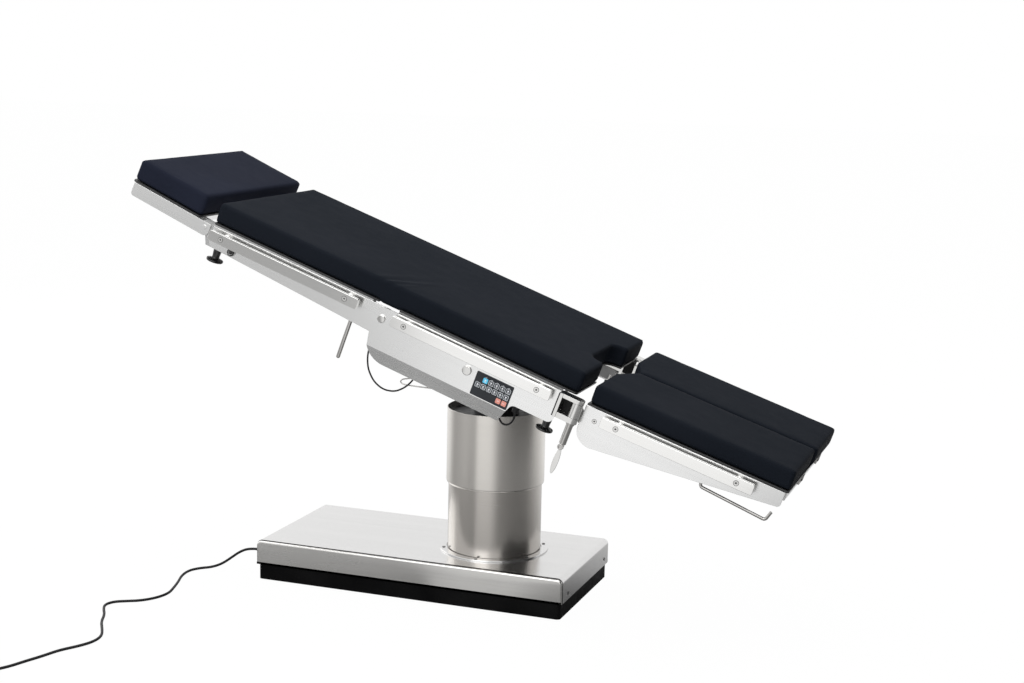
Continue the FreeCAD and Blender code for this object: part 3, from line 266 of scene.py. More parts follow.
def finished(tree, shader, color, roughness, height, strength, distance):
    """Drive a shader's colour and roughness by masks, and its surface by a height."""
    node = tree.nodes.new("ShaderNodeBump")
    node.inputs["Strength"].default_value = strength
    node.inputs["Distance"].default_value = distance
    tree.links.new(height, node.inputs["Height"])
    tree.links.new(color, shader.inputs["Base Color"])
    tree.links.new(roughness, shader.inputs["Roughness"])
    tree.links.new(node.outputs["Normal"], shader.inputs["Normal"])


def moulded_material(name, color, roughness, size=14.0, grain=0.25, lift=1.5, specular=None):
    """Moulded plastic or rubber: a faint mottle in colour and gloss, and a fine eggshell surface."""
    material, tree, shader = new_material(name, color, roughness, specular=specular)
    marks = place_group(tree, marks_group, Size=size)
    lighter = tuple(min(channel * lift + 0.004, 1) for channel in color)
    finished(tree, shader,
             mixed(tree, ranged(tree, marks.outputs["Blotch"], 0.0, 1.0, 0.35, 0.7), color, lighter),
             ranged(tree, marks.outputs["Mottle"], roughness - 0.08, roughness + 0.1, 0.3, 0.7),
             marks.outputs["Mottle"], grain, 0.0004)
    return material


cable_rubber = moulded_material("cable_rubber", (0.005, 0.005, 0.0055), 0.55, size=30.0, lift=1.0,
                                specular=0.25)
mains_lead.data.materials.append(cable_rubber)


def deselect():
    """Leave nothing selected before a new primitive."""
    bpy.ops.object.select_all(action="DESELECT")


def settle(piece):
    """Leave a piece at the origin, unturned and unscaled, with its place in its mesh."""
    pick(piece)
    bpy.ops.object.transform_apply(location=True, rotation=True, scale=True)
    return piece


def block(name, low, high):
    """A box between two corners, to be shaped further."""
    deselect()
    low = Vector(low)
    high = Vector(high)
    bpy.ops.mesh.primitive_cube_add(size=1, location=(low + high) / 2)
    piece = bpy.context.active_object
    piece.scale = high - low
    piece.name = name
    return settle(piece)


AXIS_TURN = {"X": (0, math.pi / 2, 0), "Y": (-math.pi / 2, 0, 0), "Z": (0, 0, 0)}


def drum(name, start, radius, length, axis="Z", sides=64, top=None):
    """A cylinder or cone that begins at a point and runs along an axis."""
    deselect()
    way = Vector((axis == "X", axis == "Y", axis == "Z"))
    bpy.ops.mesh.primitive_cone_add(vertices=sides, radius1=radius, radius2=radius if top is None else top,
                                    depth=abs(length), location=Vector(start) + way * length / 2,
                                    rotation=AXIS_TURN[axis])
    piece = bpy.context.active_object
    if length < 0:
        piece.scale = (1, 1, -1)
    piece.name = name
    settle(piece)
    return upright(piece)


def editing(piece, domain="EDGE", action="DESELECT"):
    """Open a piece in edit mode with nothing selected, or all of it."""
    pick(piece)
    bpy.ops.object.mode_set(mode="EDIT")
    bpy.ops.mesh.select_mode(type=domain)
    bpy.ops.mesh.select_all(action=action)


def done():
    """Leave edit mode."""
    bpy.ops.object.mode_set(mode="OBJECT")


def upright(piece):
    """Make the faces of a closed piece point outwards."""
    editing(piece, "FACE", "SELECT")
    bpy.ops.mesh.normals_make_consistent(inside=False)
    done()
    return piece


def select_edges(piece, wanted):
    """Select the edges whose two ends and middle pass a test, and stay in edit mode."""
    editing(piece, "EDGE")
    bpy.ops.object.mode_set(mode="OBJECT")
    places = piece.data.vertices
    for edge in piece.data.edges:
        first, second = (places[index].co for index in edge.vertices)
        edge.select = bool(wanted(first, second))
    bpy.ops.object.mode_set(mode="EDIT")


def select_faces(piece, wanted):
    """Select the faces whose centre and normal pass a test, and stay in edit mode."""
    editing(piece, "FACE")
    bpy.ops.object.mode_set(mode="OBJECT")
    for face in piece.data.polygons:
        face.select = bool(wanted(face.center, face.normal))
    bpy.ops.object.mode_set(mode="EDIT")


def inset(thickness, move=None):
    """Inset the selected faces, and move the inner ones on."""
    bpy.ops.mesh.inset(thickness=thickness)
    if move:
        bpy.ops.transform.translate(value=move)


def round_edges(piece, wanted, radius, segments=6):
    """Round chosen edges to a radius."""
    select_edges(piece, wanted)
    bpy.ops.mesh.bevel(offset=radius, segments=segments, affect="EDGES")
    done()
    return piece


def modified(piece, kind, **settings):
    """Add a modifier with its settings and apply it."""
    pick(piece)
    modifier = piece.modifiers.new(kind, kind)
    for setting, value in settings.items():
        setattr(modifier, setting, value)
    bpy.ops.object.modifier_apply(modifier=modifier.name)
    return piece


def shade(piece, angle=35):
    """Smooth shading, with edges kept where faces meet at more than the angle."""
    pick(piece)
    bpy.ops.object.shade_smooth_by_angle(angle=math.radians(angle))
    return piece


def ease(piece, width, segments=2, angle=30):
    """Break the sharp edges and shade the piece, as deburring does."""
    modified(piece, "BEVEL", width=width, segments=segments, limit_method="ANGLE",
             angle_limit=math.radians(angle))
    shade(piece)
    return modified(piece, "WEIGHTED_NORMAL", weight=100, keep_sharp=True)


def join(name, pieces):
    """Join loose pieces of one part into one object."""
    deselect()
    for piece in pieces:
        piece.select_set(True)
    bpy.context.view_layer.objects.active = pieces[0]
    bpy.ops.object.join()
    pieces[0].name = name
    return pieces[0]


def finish_piece(piece, material, body, slot, *nodes):
    """Give a piece its finish, the body that it moves with and the CAD nodes that it stands for."""
    if material:
        piece.data.materials.clear()
        piece.data.materials.append(material)
    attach(piece, body)
    if nodes:
        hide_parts(*nodes)
    return piece


# The tie is a flat hook-and-loop strap round all the turns on one side.
tie_middle = COIL_CENTRE + Vector((COLUMN_X, (COIL_OUTER + COIL_INNER) / 2, 0.0075))
cord_tie = block("cord_tie", tie_middle + Vector((-0.006, -0.0152, -0.0073)),
                 tie_middle + Vector((0.006, 0.0152, 0.0078)))
round_edges(cord_tie, lambda a, b: abs(a.x - b.x) > 0.01, 0.0055, 5)
select_faces(cord_tie, lambda centre, normal: abs(normal.x) > 0.9)
inset(0.0011)
bpy.ops.mesh.bridge_edge_loops()
done()
upright(cord_tie)
ease(cord_tie, 0.0002)
tie_cloth = moulded_material("tie_cloth", (0.02, 0.02, 0.022), 0.85, size=60.0, grain=0.6)
finish_piece(cord_tie, tie_cloth, "base", "cable_black")

# Plug: a moulded grip with a waist, five ribs towards the lead and two round pins.
plug_at = plug_entry + Vector((COLUMN_X, 0, 0))
grip = drum("plug_grip", plug_at, 0.0178, -0.046, "X", 48)
select_faces(grip, lambda centre, normal: normal.x > 0.9)
inset(0.006, (0.006, 0, 0))
done()
ease(grip, 0.0015, 3)
ribs = [drum("plug_rib", plug_at + Vector((0.005 + 0.0045 * index, 0, 0)), 0.0072 - 0.0005 * index, 0.0028,
             "X", 32) for index in range(5)]
boot = drum("plug_boot", plug_at + Vector((0.003, 0, 0)), 0.0062, 0.025, "X", 32, top=0.0043)
for piece in ribs:
    ease(piece, 0.0006)
ease(boot, 0.0004)
mains_plug = join("mains_plug_grip", [grip, boot, *ribs])
finish_piece(mains_plug, cable_rubber, "base", "cable_black")
plug_pins = []
for spread in (-0.0095, 0.0095):
    pin = drum("plug_pin", plug_at + Vector((-0.046, spread, 0)), 0.0024, -0.019, "X", 24)
    plug_pins.append(ease(pin, 0.0007))
mains_plug_pins = join("mains_plug_pins", plug_pins)
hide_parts("mains_plug")


# Strain relief
# A tapered rubber boot with ribs holds the lead where it leaves the folded cover at the head end.
inlet_low, inlet_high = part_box("cord_inlet")
inlet_face = Vector((inlet_high.x, (inlet_low.y + inlet_high.y) / 2, (inlet_low.z + inlet_high.z) / 2))
collar = ease(drum("inlet_collar", inlet_face, 0.0118, -0.006, "X", 40), 0.001)
boot = ease(drum("inlet_boot", inlet_face, 0.0085, -0.025, "X", 40, top=0.0046), 0.0006)
ribs = [ease(drum("inlet_rib", inlet_face + Vector((-0.008 - 0.0042 * index, 0, 0)), 0.0082 - 0.0007 * index,
                  -0.0024, "X", 40), 0.0006) for index in range(4)]
inlet = join("inlet_relief", [collar, boot, *ribs])
finish_piece(inlet, cable_rubber, "base", "cable_black", "cord_inlet")


# Brushed stainless steel
# Sheet and tube brushed in one direction. Fine scratches catch the light along their length and wiping
# leaves soft cloudy marks.
grain_group, grain_in, grain_out = effect_group(
    "brushed_grain",
    [("Vector", "NodeSocketVector", None), ("Scale", "NodeSocketVector", (3, 500, 500)),
     ("Cloud", "NodeSocketFloat", 0.5)],
    [("Grain", "NodeSocketFloat"), ("Tone", "NodeSocketFloat")])


def stretched(share):
    """The piece's coordinates, long in the brushed direction and short across it."""
    scaled = grain_group.nodes.new("ShaderNodeVectorMath")
    scaled.operation = "MULTIPLY"
    grain_group.links.new(grain_in.outputs["Vector"], scaled.inputs[0])
    grain_group.links.new(grain_in.outputs["Scale"], scaled.inputs[1])
    shared = grain_group.nodes.new("ShaderNodeVectorMath")
    shared.operation = "SCALE"
    shared.inputs["Scale"].default_value = share
    grain_group.links.new(scaled.outputs[0], shared.inputs[0])
    return shared.outputs[0]


fine_lines = add_noise(grain_group, stretched(1.0), 1.0, 3.0, 0.6)
soft_bands = add_noise(grain_group, stretched(0.09), 1.0, 2.0)
wiped = add_noise(grain_group, grain_in.outputs["Vector"], 3.2, 2.0)
cloudy = add_math(grain_group, "MULTIPLY", add_math(grain_group, "SUBTRACT", wiped, 0.5),
                  grain_in.outputs["Cloud"])
lined = add_math(grain_group, "ADD", add_math(grain_group, "MULTIPLY", fine_lines, 0.4),
                 add_math(grain_group, "MULTIPLY", soft_bands, 0.6))
grain_group.links.new(fine_lines, grain_out.inputs["Grain"])
grain_group.links.new(add_math(grain_group, "ADD", lined, cloudy), grain_out.inputs["Tone"])


def brushed_material(name, color, roughness, turn=(0, 0, 0), scale=(3, 500, 500), depth=0.1, dim=0.9,
                     cloud=0.5):
    """Brushed steel whose grain runs along the axis with the smallest scale."""
    material, tree, shader = new_material(name, color, roughness, metallic=1.0)
    grain = place_group(tree, grain_group, turn, Scale=scale, Cloud=cloud)
    dull = tuple(channel * dim for channel in color)
    finished(tree, shader,
             mixed(tree, ranged(tree, grain.outputs["Tone"], 0.0, 1.0, 0.3, 0.7), dull, color),
             ranged(tree, grain.outputs["Tone"], roughness + 0.03, roughness - 0.02, 0.25, 0.75),
             grain.outputs["Grain"], depth, 0.0001)
    return material


# Base
# A low steel-clad box: a black painted plinth on four rubber feet, a wrap of brushed stainless sheet that
# is folded over the long sides, and a folded lid with rounded ends that lies on it.
nodes_by_name = frame["nodes"]


def paint_node(node, material):
    """Give a CAD node its finish on every material slot."""
    for slot in nodes_by_name[node].material_slots:
        slot.material = material


plinth_black = moulded_material("plinth_black", (0.0012, 0.0012, 0.0014), 0.5, size=5.0, grain=0.1, lift=1.0,
                                specular=0.06)
foot_rubber = moulded_material("foot_rubber", (0.02, 0.02, 0.02), 0.8)
paint_node("base_chassis", plinth_black)
paint_node("base_feet", foot_rubber)
base_steel = brushed_material("base_steel", (0.73, 0.725, 0.72), 0.24, scale=(2.5, 420, 420), dim=0.965,
                              depth=0.03, cloud=0.3)
base_side_steel = brushed_material("base_side_steel", (0.74, 0.73, 0.71), 0.25, scale=(1.2, 90, 90),
                                   dim=0.84, cloud=1.2, depth=0.015)


def eased_copy(name, node, width, material, body, slot):
    """A copy of a CAD node with the facets merged into plain faces, and every sharp edge broken."""
    model = nodes_by_name[node]
    piece = placed(name, model.data.copy())
    piece.matrix_world = model.matrix_world
    settle(piece)
    editing(piece, "VERT", "SELECT")
    bpy.ops.mesh.remove_doubles(threshold=0.00001)
    bpy.ops.mesh.dissolve_limited(angle_limit=math.radians(1))
    bpy.ops.mesh.normals_make_consistent(inside=False)
    done()
    ease(piece, width, 2, 32)
    return finish_piece(piece, material, body, slot, node)


cover_low, cover_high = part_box("base_cover")
COVER_BEND = 0.015
FOLD_WIDE = 0.0085
FOLD_ROUND = 0.005
SHEET = 0.0018
WRAP_INSET = 0.001


def shell(name, low, high, bend, material, sides_too, node):
    """A folded sheet box, open below: two round bends at its ends, and rounded or open long sides. Its cut
    edges are painted black as painted shade.
    """
    piece = block(name, low, high)
    round_edges(piece, lambda a, b: abs(a.y - b.y) > 0.1 and min(a.z, b.z) > high.z - 1e-5, bend, 10)
    if sides_too:
        round_edges(piece, lambda a, b: max(a.z, b.z) > low.z + 1e-4
                    and any(abs(a.y - y) < 1e-5 and abs(b.y - y) < 1e-5 for y in (low.y, high.y)),
                    FOLD_ROUND, 6)
    select_faces(piece, lambda centre, normal: normal.z < -0.9 or (not sides_too and abs(normal.y) > 0.9))
    bpy.ops.mesh.delete(type="FACE")
    done()
    piece.data.materials.append(material)
    # Painted shade: the sheet's cut edges take the black plinth paint, for the shaded step where the lid lies
    # on the wrap.
    piece.data.materials.append(plinth_black)
    modified(piece, "SOLIDIFY", thickness=SHEET, offset=-1, material_offset_rim=1)
    return finish_piece(shade(piece), None, "base", "base_shell", node)


base_lid = shell("base_lid", cover_low, cover_high, COVER_BEND, base_steel, False, "base_cover")
editing(base_lid, action="SELECT")
bpy.ops.transform.resize(value=(1, 1 - 2 * FOLD_WIDE / (cover_high.y - cover_low.y), 1),
                         center_override=(0, (cover_low.y + cover_high.y) / 2, 0))
done()
shell("base_wrap", cover_low + Vector((WRAP_INSET, 0, 0)), cover_high - Vector((WRAP_INSET, 0, SHEET)),
      COVER_BEND - WRAP_INSET, base_side_steel, True, "base_side_panels")

# The two end screws and the flange screws are countersunk hexagon-socket screws.
screw_steel = brushed_material("screw_steel", (0.72, 0.715, 0.7), 0.28, scale=(400, 400, 400))
painted_socket_shade = moulded_material("painted_socket_shade", (0.03, 0.03, 0.03), 0.6)


def screw(name, radius, height, sunk=0.0):
    """A round screw head on the XY plane: a chamfer and a hexagon socket sunk in, with painted shade on the
    ring round it and in the socket.
    """
    head = drum(name, (0, 0, -0.0005), radius, height + 0.0005, "Z", 36)
    select_faces(head, lambda centre, normal: normal.z > 0.9)
    inset(radius * 0.13)
    inset(radius * 0.05, (0, 0, -sunk))
    inset(radius * 0.45)
    inset(radius * 0.04, (0, 0, -height * 0.7))
    done()
    shade(head)
    head.data.materials.append(screw_steel)
    head.data.materials.append(painted_socket_shade)
    # Painted shade: the head's side, the ring round it and the sunk socket take the dark material.
    for face in head.data.polygons:
        away = Vector((face.center.x, face.center.y)).length
        joint = face.normal.z < 0.5 or away > radius * 0.88
        face.material_index = 1 if joint or (away < radius * 0.4 and face.center.z < height * 0.5) else 0
    return head


def twin(model):
    """A copy of a piece with its own mesh."""
    copy = model.copy()
    copy.data = model.data.copy()
    bpy.context.collection.objects.link(copy)
    return copy


def set_screws(name, model, places, normal, body, *nodes):
    """Copies of one screw, each with its own mesh, turned to a face and joined under one name."""
    turn = Vector((0, 0, 1)).rotation_difference(Vector(normal)).to_matrix().to_4x4()
    made = []
    for place in places:
        copy = twin(model)
        copy.matrix_world = Matrix.Translation(Vector(place)) @ turn
        made.append(settle(copy))
    return finish_piece(join(name, made), None, body, "pin_steel", *nodes)


small_screw = screw("small_screw", 0.0042, 0.0016)
set_screws("base_end_screws", small_screw,
           [(cover_high.x, 0.166, 0.064), (cover_high.x, -0.152, 0.062)], (1, 0, 0), "base")
flange_low, flange_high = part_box("column_flange")
FLANGE_CIRCLE = 0.137
ring_places = []
for index in range(6):
    angle = math.radians(30 + 60 * index)
    ring_places.append((COLUMN_X + FLANGE_CIRCLE * math.cos(angle), FLANGE_CIRCLE * math.sin(angle),
                        flange_high.z))
set_screws("flange_screws", small_screw, ring_places, (0, 0, 1), "base")


# Column
# Two brushed stainless sleeves that slide over each other, with a rolled lip at the upper one's foot. The
# black column head and its fork show inside the open rim.
column_steel = brushed_material("column_steel", (0.66, 0.635, 0.6), 0.24, scale=(4, 4, 600), dim=0.975,
                                cloud=0.3, depth=0.02)
# Painted shade: the lower sleeve takes a darker copy of the same stainless steel, for the shade on the lower
# column.
shaded_lower_steel = brushed_material("shaded_lower_steel", (0.52, 0.495, 0.465), 0.25, scale=(4, 4, 600), dim=0.975,
                               cloud=0.3, depth=0.02)
SLEEVE_WALL = 0.002


def ring(name, start, outer, inner, length, axis="Z", sides=64):
    """A flat ring with a real bore: a drum whose two end faces are inset and bridged."""
    piece = drum(name, start, outer, length, axis, sides)
    number = "XYZ".index(axis)
    select_faces(piece, lambda centre, normal: abs(normal[number]) > 0.9)
    inset(outer - inner)
    bpy.ops.mesh.bridge_edge_loops()
    done()
    return upright(piece)


def sleeve(name, node, lip, material, body):
    """A tube of a node's size: a cylinder with open ends, a rolled lip at its foot and a real wall."""
    low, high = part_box(node)
    radius = (high.y - low.y) / 2
    tube = drum(name, (COLUMN_X, 0, low.z), radius, high.z - low.z, "Z", 192)
    select_faces(tube, lambda centre, normal: abs(normal.z) > 0.9)
    bpy.ops.mesh.delete(type="FACE")
    done()
    if lip:
        select_edges(tube, lambda a, b: a.z < low.z + 1e-5 and b.z < low.z + 1e-5)
        bpy.ops.transform.translate(value=(0, 0, 0.007))
        bpy.ops.mesh.extrude_region_move(TRANSFORM_OT_translate={"value": (0, 0, -0.0035)})
        bpy.ops.transform.resize(value=(0.996, 0.996, 1), center_override=(COLUMN_X, 0, 0))
        bpy.ops.mesh.extrude_region_move(TRANSFORM_OT_translate={"value": (0, 0, -0.0025)})
        bpy.ops.transform.resize(value=(0.988, 0.988, 1), center_override=(COLUMN_X, 0, 0))
        done()
    modified(tube, "SOLIDIFY", thickness=SLEEVE_WALL, offset=-1)
    ease(tube, 0.0005, 2, angle=50)
    return finish_piece(tube, material, body, "column_steel", node)


sleeve("upper_tube", "upper_sleeve", True, column_steel, "column")
sleeve("lower_tube", "lower_sleeve", False, shaded_lower_steel, "base")
flange = ring("column_collar", (COLUMN_X, 0, flange_low.z), 0.147, 0.1285, 0.004, sides=160)
finish_piece(ease(flange, 0.0008), base_steel, "base", "column_steel", "column_flange")

head_black = moulded_material("head_black", (0.03, 0.03, 0.032), 0.45, size=9.0)
bright_steel = brushed_material("bright_steel", (0.72, 0.715, 0.7), 0.13, scale=(60, 60, 60), depth=0.05)
pin_steel = brushed_material("pin_steel", (0.62, 0.61, 0.59), 0.2, scale=(120, 120, 120), depth=0.05)
for node in ("column_head", "tilt_cross", "power_unit", "back_drive"):
    paint_node(node, head_black)
paint_node("middle_sleeve", column_steel)
for node in ("lift_cylinder", "lift_stage", "lift_ram"):
    paint_node(node, pin_steel)


# Sections of the top
# Each section of the padded top lies in its own tilted plane. These matrices turn a piece modelled flat,
# with X towards the foot end and Z out of the pads, into its section's place.
seat_at = Vector(joints["back_hinge"]["pos_m"])
seat_up = Vector(joints["clamp_turn_near"]["axis"])
SEAT_TILT = math.atan2(seat_up.x, seat_up.z)
HEAD_TILT = SEAT_TILT + math.radians(4)
LEG_TILT = SEAT_TILT - math.radians(1.4)


def section(origin, tilt):
    """The place of a section whose plane is tilted about the cross axis."""
    return Matrix.Translation(origin) @ Matrix.Rotation(tilt, 4, "Y")


SEAT = section(Vector((seat_at.x, 0, seat_at.z)), SEAT_TILT)
HEAD = section(Vector((joints["head_hinge"]["pos_m"][0], 0, joints["head_hinge"]["pos_m"][2])), HEAD_TILT)
LEG = section(SEAT @ Vector((0.577, 0, 0.022)), LEG_TILT)


def lay_in(piece, place):
    """Move a piece from its flat modelling place into its section."""
    piece.matrix_world = place
    return settle(piece)


# Pads
# Dense foam cut square under a tight seamless cover of dark navy coated cloth. The faces stay flat, the
# edges are narrow and soft, and the cover puckers a little over the back hinge.
def navy_material(name, deep, paler, roughness):
    """Coated cloth: a fine leathery grain, faint cloudy sheen and slightly lighter cloudy patches."""
    material, tree, shader = new_material(name, deep, roughness, specular=0.015)
    marks = place_group(tree, marks_group, Size=3.0)
    leather = place_group(tree, marks_group, Size=40.0)
    finished(tree, shader,
             mixed(tree, ranged(tree, marks.outputs["Blotch"], 0.0, 1.0, 0.35, 0.68), deep, paler),
             ranged(tree, marks.outputs["Mottle"], roughness - 0.03, roughness + 0.03, 0.3, 0.7),
             leather.outputs["Mottle"], 0.05, 0.0003)
    return material


pad_navy = navy_material("pad_navy", (0.0075, 0.0095, 0.0135), (0.0095, 0.0115, 0.016), 0.66)
# Painted light: the head pad takes a lighter copy of the same cloth, as the head end is lit more brightly.
lit_head_navy = navy_material("lit_head_navy", (0.0110, 0.0130, 0.022), (0.0135, 0.016, 0.027), 0.62)

PAD_HALF = 0.270
PAD_LOW = 0.0403
PAD_HIGH = 0.0943
EDGE_SOFT = 0.006
VOXEL = 0.0055
SWELL = 0.0012
SHRINK = 0.0005


def stuff(piece, floor, creases=()):
    """Puff a tight cover a little over its foam by a short cloth simulation, and press its underside flat."""
    modified(piece, "REMESH", mode="VOXEL", voxel_size=VOXEL)
    flat = [vertex.co.copy() for vertex in piece.data.vertices]
    cloth = piece.modifiers.new("cover", "CLOTH")
    cloth.settings.quality = 4
    cloth.settings.mass = 0.4
    cloth.settings.tension_stiffness = 25
    cloth.settings.compression_stiffness = 10
    cloth.settings.bending_stiffness = 2
    cloth.settings.use_pressure = True
    cloth.settings.uniform_pressure_force = 4
    cloth.settings.effector_weights.gravity = 0
    cloth.collision_settings.use_collision = False
    cloth.point_cache.frame_start = 1
    cloth.point_cache.frame_end = 20
    for step in range(1, 21):
        bpy.context.scene.frame_set(step)
    bpy.ops.object.modifier_apply(modifier="cover")
    bpy.context.scene.frame_set(1)
    for vertex, start in zip(piece.data.vertices, flat):
        move = vertex.co - start
        if move.length > SWELL:
            move = move * (SWELL / move.length)
        spot = start + move
        for where, width, height, angle in creases:
            across = (spot.x - where) + angle * (spot.y + PAD_HALF)
            near = max(0.0, 1 - (spot.y + PAD_HALF) / 0.24)
            spot.z += height * math.exp(-(across / width) ** 2) * near * (spot.z > floor + 0.03)
        spot.z = max(spot.z, min(floor, start.z))
        vertex.co = spot
    modified(piece, "SMOOTH", factor=0.4, iterations=2)
    bpy.ops.object.shade_smooth()
    return piece


torso = block("torso_pad", (-0.5334 + SHRINK, -PAD_HALF + SHRINK, PAD_LOW),
              (0.545 - SHRINK, PAD_HALF - SHRINK, PAD_HIGH - SHRINK))
round_edges(torso, lambda a, b: abs(a.z - b.z) > 0.02, 0.006, 4)
notch = block("notch_cutter", (0.505, -0.108, 0.0), (0.60, 0.108, 0.14))
round_edges(notch, lambda a, b: abs(a.z - b.z) > 0.1 and a.x < 0.51, 0.034, 10)
modified(torso, "BOOLEAN", operation="DIFFERENCE", object=notch, solver="EXACT")
bpy.data.objects.remove(notch)
ease(torso, EDGE_SOFT, 3, angle=50)
# A ridge of foam fills the gap between the two boards, under the bend.
ridge = block("ridge", (-0.0245, -PAD_HALF + 0.0012, 0.0335), (0.0355, PAD_HALF - 0.0012, 0.045))
torso = join("torso_pad", [torso, ridge])
PUCKERS = ((-0.052, 0.010, 0.0016, -0.35), (-0.020, 0.008, 0.0022, -0.5), (0.010, 0.009, 0.0014, -0.25),
           (-0.035, 0.007, -0.0018, -0.42), (-0.004, 0.007, -0.0016, -0.4))
stuff(torso, PAD_LOW, PUCKERS)
lay_in(torso, SEAT)
torso.data.materials.clear()
torso.data.materials.append(pad_navy)
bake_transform(torso)
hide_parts("back_pad", "torso_bend_pad", "seat_pad")

head_low = 0.0196
head_high = 0.0776
head_cushion = block("head_cushion", (-0.243 + SHRINK, -PAD_HALF + SHRINK, head_low),
                     (-0.024 - SHRINK, PAD_HALF - SHRINK, head_high - SHRINK))
round_edges(head_cushion, lambda a, b: abs(a.z - b.z) > 0.02 and a.x < -0.2, 0.006, 4)
round_edges(head_cushion, lambda a, b: abs(a.z - b.z) > 0.02 and a.x > -0.04, 0.010, 4)
ease(head_cushion, EDGE_SOFT, 3, angle=50)
stuff(head_cushion, head_low)
finish_piece(lay_in(head_cushion, HEAD), lit_head_navy, "head", "head_pad_cover", "head_pad")

leg_low = 0.0083
leg_high = 0.0583
LEG_INNER = 0.0015
LEG_CORNER = Vector((0.036, 0.095, 0))
leg_model = block("leg_model", (SHRINK, LEG_INNER + SHRINK, leg_low),
                  (0.532 - SHRINK, PAD_HALF - SHRINK, leg_high - SHRINK))
editing(leg_model, "FACE", "SELECT")
bpy.ops.mesh.bisect(plane_co=(LEG_CORNER.x, LEG_INNER, 0), plane_no=(-LEG_CORNER.y, -LEG_CORNER.x, 0),
                    use_fill=True, clear_outer=True)
done()
upright(leg_model)
round_edges(leg_model, lambda a, b: abs(a.z - b.z) > 0.02, 0.007, 4)
ease(leg_model, EDGE_SOFT, 3, angle=50)
stuff(leg_model, leg_low)
for side, sign, shift in (("far", 1, 0.006), ("near", -1, 0.001)):
    cushion = twin(leg_model)
    cushion.name = f"leg_cushion_{side}"
    if sign < 0:
        cushion.scale = (1, -1, 1)
        settle(cushion)
        upright(cushion)
    lay_in(cushion, LEG @ Matrix.Translation((shift, 0, 0)))
    finish_piece(cushion, pad_navy, f"leg_{side}", "pad_cover", f"leg_pad_{side}")
bpy.data.objects.remove(leg_model)


# Boards and side metalwork
# Black laminate boards carry the pads. The side covers, cheeks and panels are satin stainless sheet, and
# the frames behind them are painted grey.
board_black = moulded_material("board_black", (0.011, 0.011, 0.012), 0.35, size=7.0, grain=0.1)
cover_steel = brushed_material("cover_steel", (0.83, 0.83, 0.825), 0.27, turn=(0, -SEAT_TILT, 0),
                               scale=(3, 300, 300), depth=0.04, dim=0.95)
frame_grey = moulded_material("frame_grey", (0.30, 0.30, 0.30), 0.4, size=8.0, grain=0.1, lift=1.15)
for name, node, body in (("seat_board", "seat_plate", "seat"), ("back_board", "back_plate", "back"),
                         ("head_board", "head_plate", "head"), ("leg_board_near", "leg_plate_near", "leg_near"),
                         ("leg_board_far", "leg_plate_far", "leg_far")):
    eased_copy(name, node, 0.0008, board_black, body, "board_black")
for name, node, body in (("seat_side_near", "seat_cover_near", "seat"),
                         ("seat_side_far", "seat_cover_far", "seat"), ("back_sides", "back_panels", "back"),
                         ("head_sides", "head_frame", "head"), ("leg_side_near", "leg_frame_near", "leg_near"),
                         ("leg_side_far", "leg_frame_far", "leg_far")):
    eased_copy(name, node, 0.0006, cover_steel, body, "shell_grey")
for node in ("seat_frame", "back_frame"):
    paint_node(node, frame_grey)


# Accessory rails
# Bars of 10 by 28 mm bright steel with rounded ends, each on two bosses with countersunk ring screws.
rail_steel = brushed_material("rail_steel", (0.86, 0.855, 0.84), 0.13, turn=(0, -SEAT_TILT, 0),
                              scale=(4, 300, 300), depth=0.04, dim=0.95)
RAIL_IN = 0.289
RAIL_OUT = 0.299
RAIL_HIGH = 0.028
SIDES = (("near", -1), ("far", 1))
rail_screw = screw("rail_screw", 0.0072, 0.0004)


def rail(name, place, start, end, top, face, screws, body, node):
    """One bar with rounded ends, its two bosses and its two screws, on both sides of the table."""
    for side, sign in SIDES:
        rider = body.format(side=side)
        y_low, y_high = sorted((RAIL_IN * sign, RAIL_OUT * sign))
        bar = block(f"{name}_bar_{side}", (start, y_low, top - RAIL_HIGH), (end, y_high, top))
        round_edges(bar, lambda a, b: abs(a.y - b.y) > 0.005, 0.005, 6)
        pieces = [ease(bar, 0.0009, 3)]
        for along in screws:
            boss = drum(f"{name}_boss", (along, face * sign, top - RAIL_HIGH / 2), 0.0108,
                        (RAIL_IN - face + 0.0004) * sign, "Y", 48)
            pieces.append(ease(boss, 0.0005))
        joined = lay_in(join(f"{name}_rail_{side}", pieces), place)
        finish_piece(joined, rail_steel, rider, "rail_steel", node.format(side=side))
        spots = [place @ Vector((along, RAIL_OUT * sign, top - RAIL_HIGH / 2)) for along in screws]
        set_screws(f"{name}_rail_screws_{side}", rail_screw, spots, (0, sign, 0), rider)


rail("back", SEAT, -0.523, -0.068, 0.0255, 0.275, (-0.485, -0.106), "back", "back_rails")
rail("seat", SEAT, 0.031, 0.488, 0.0255, 0.279, (0.069, 0.450), "seat", "seat_rails")
rail("leg", LEG, 0.051, 0.456, -0.003, 0.276, (0.093, 0.412), "leg_{side}", "leg_rail_{side}")


# Hinge bolts
# Turned stainless caps: a hexagon-socket bolt over the back hinge and a wider cap over the tilt shaft.
def turned_cap(name, radius, height, ridge):
    """A low round cap with a chamfered rim, a turned groove and a shallow middle."""
    cap = drum(name, (0, 0, -0.0005), radius, height + 0.0005, "Z", 72)
    round_edges(cap, lambda a, b: a.z > height - 1e-5 and b.z > height - 1e-5, height * 0.5, 8)
    select_faces(cap, lambda centre, normal: normal.z > 0.9 and centre.length < radius * 0.2)
    inset(radius * 0.14)
    inset(radius * 0.05, (0, 0, -ridge))
    inset(radius * 0.25)
    inset(radius * 0.08, (0, 0, -ridge * 1.5))
    done()
    cap.data.materials.append(bright_steel)
    return shade(cap)


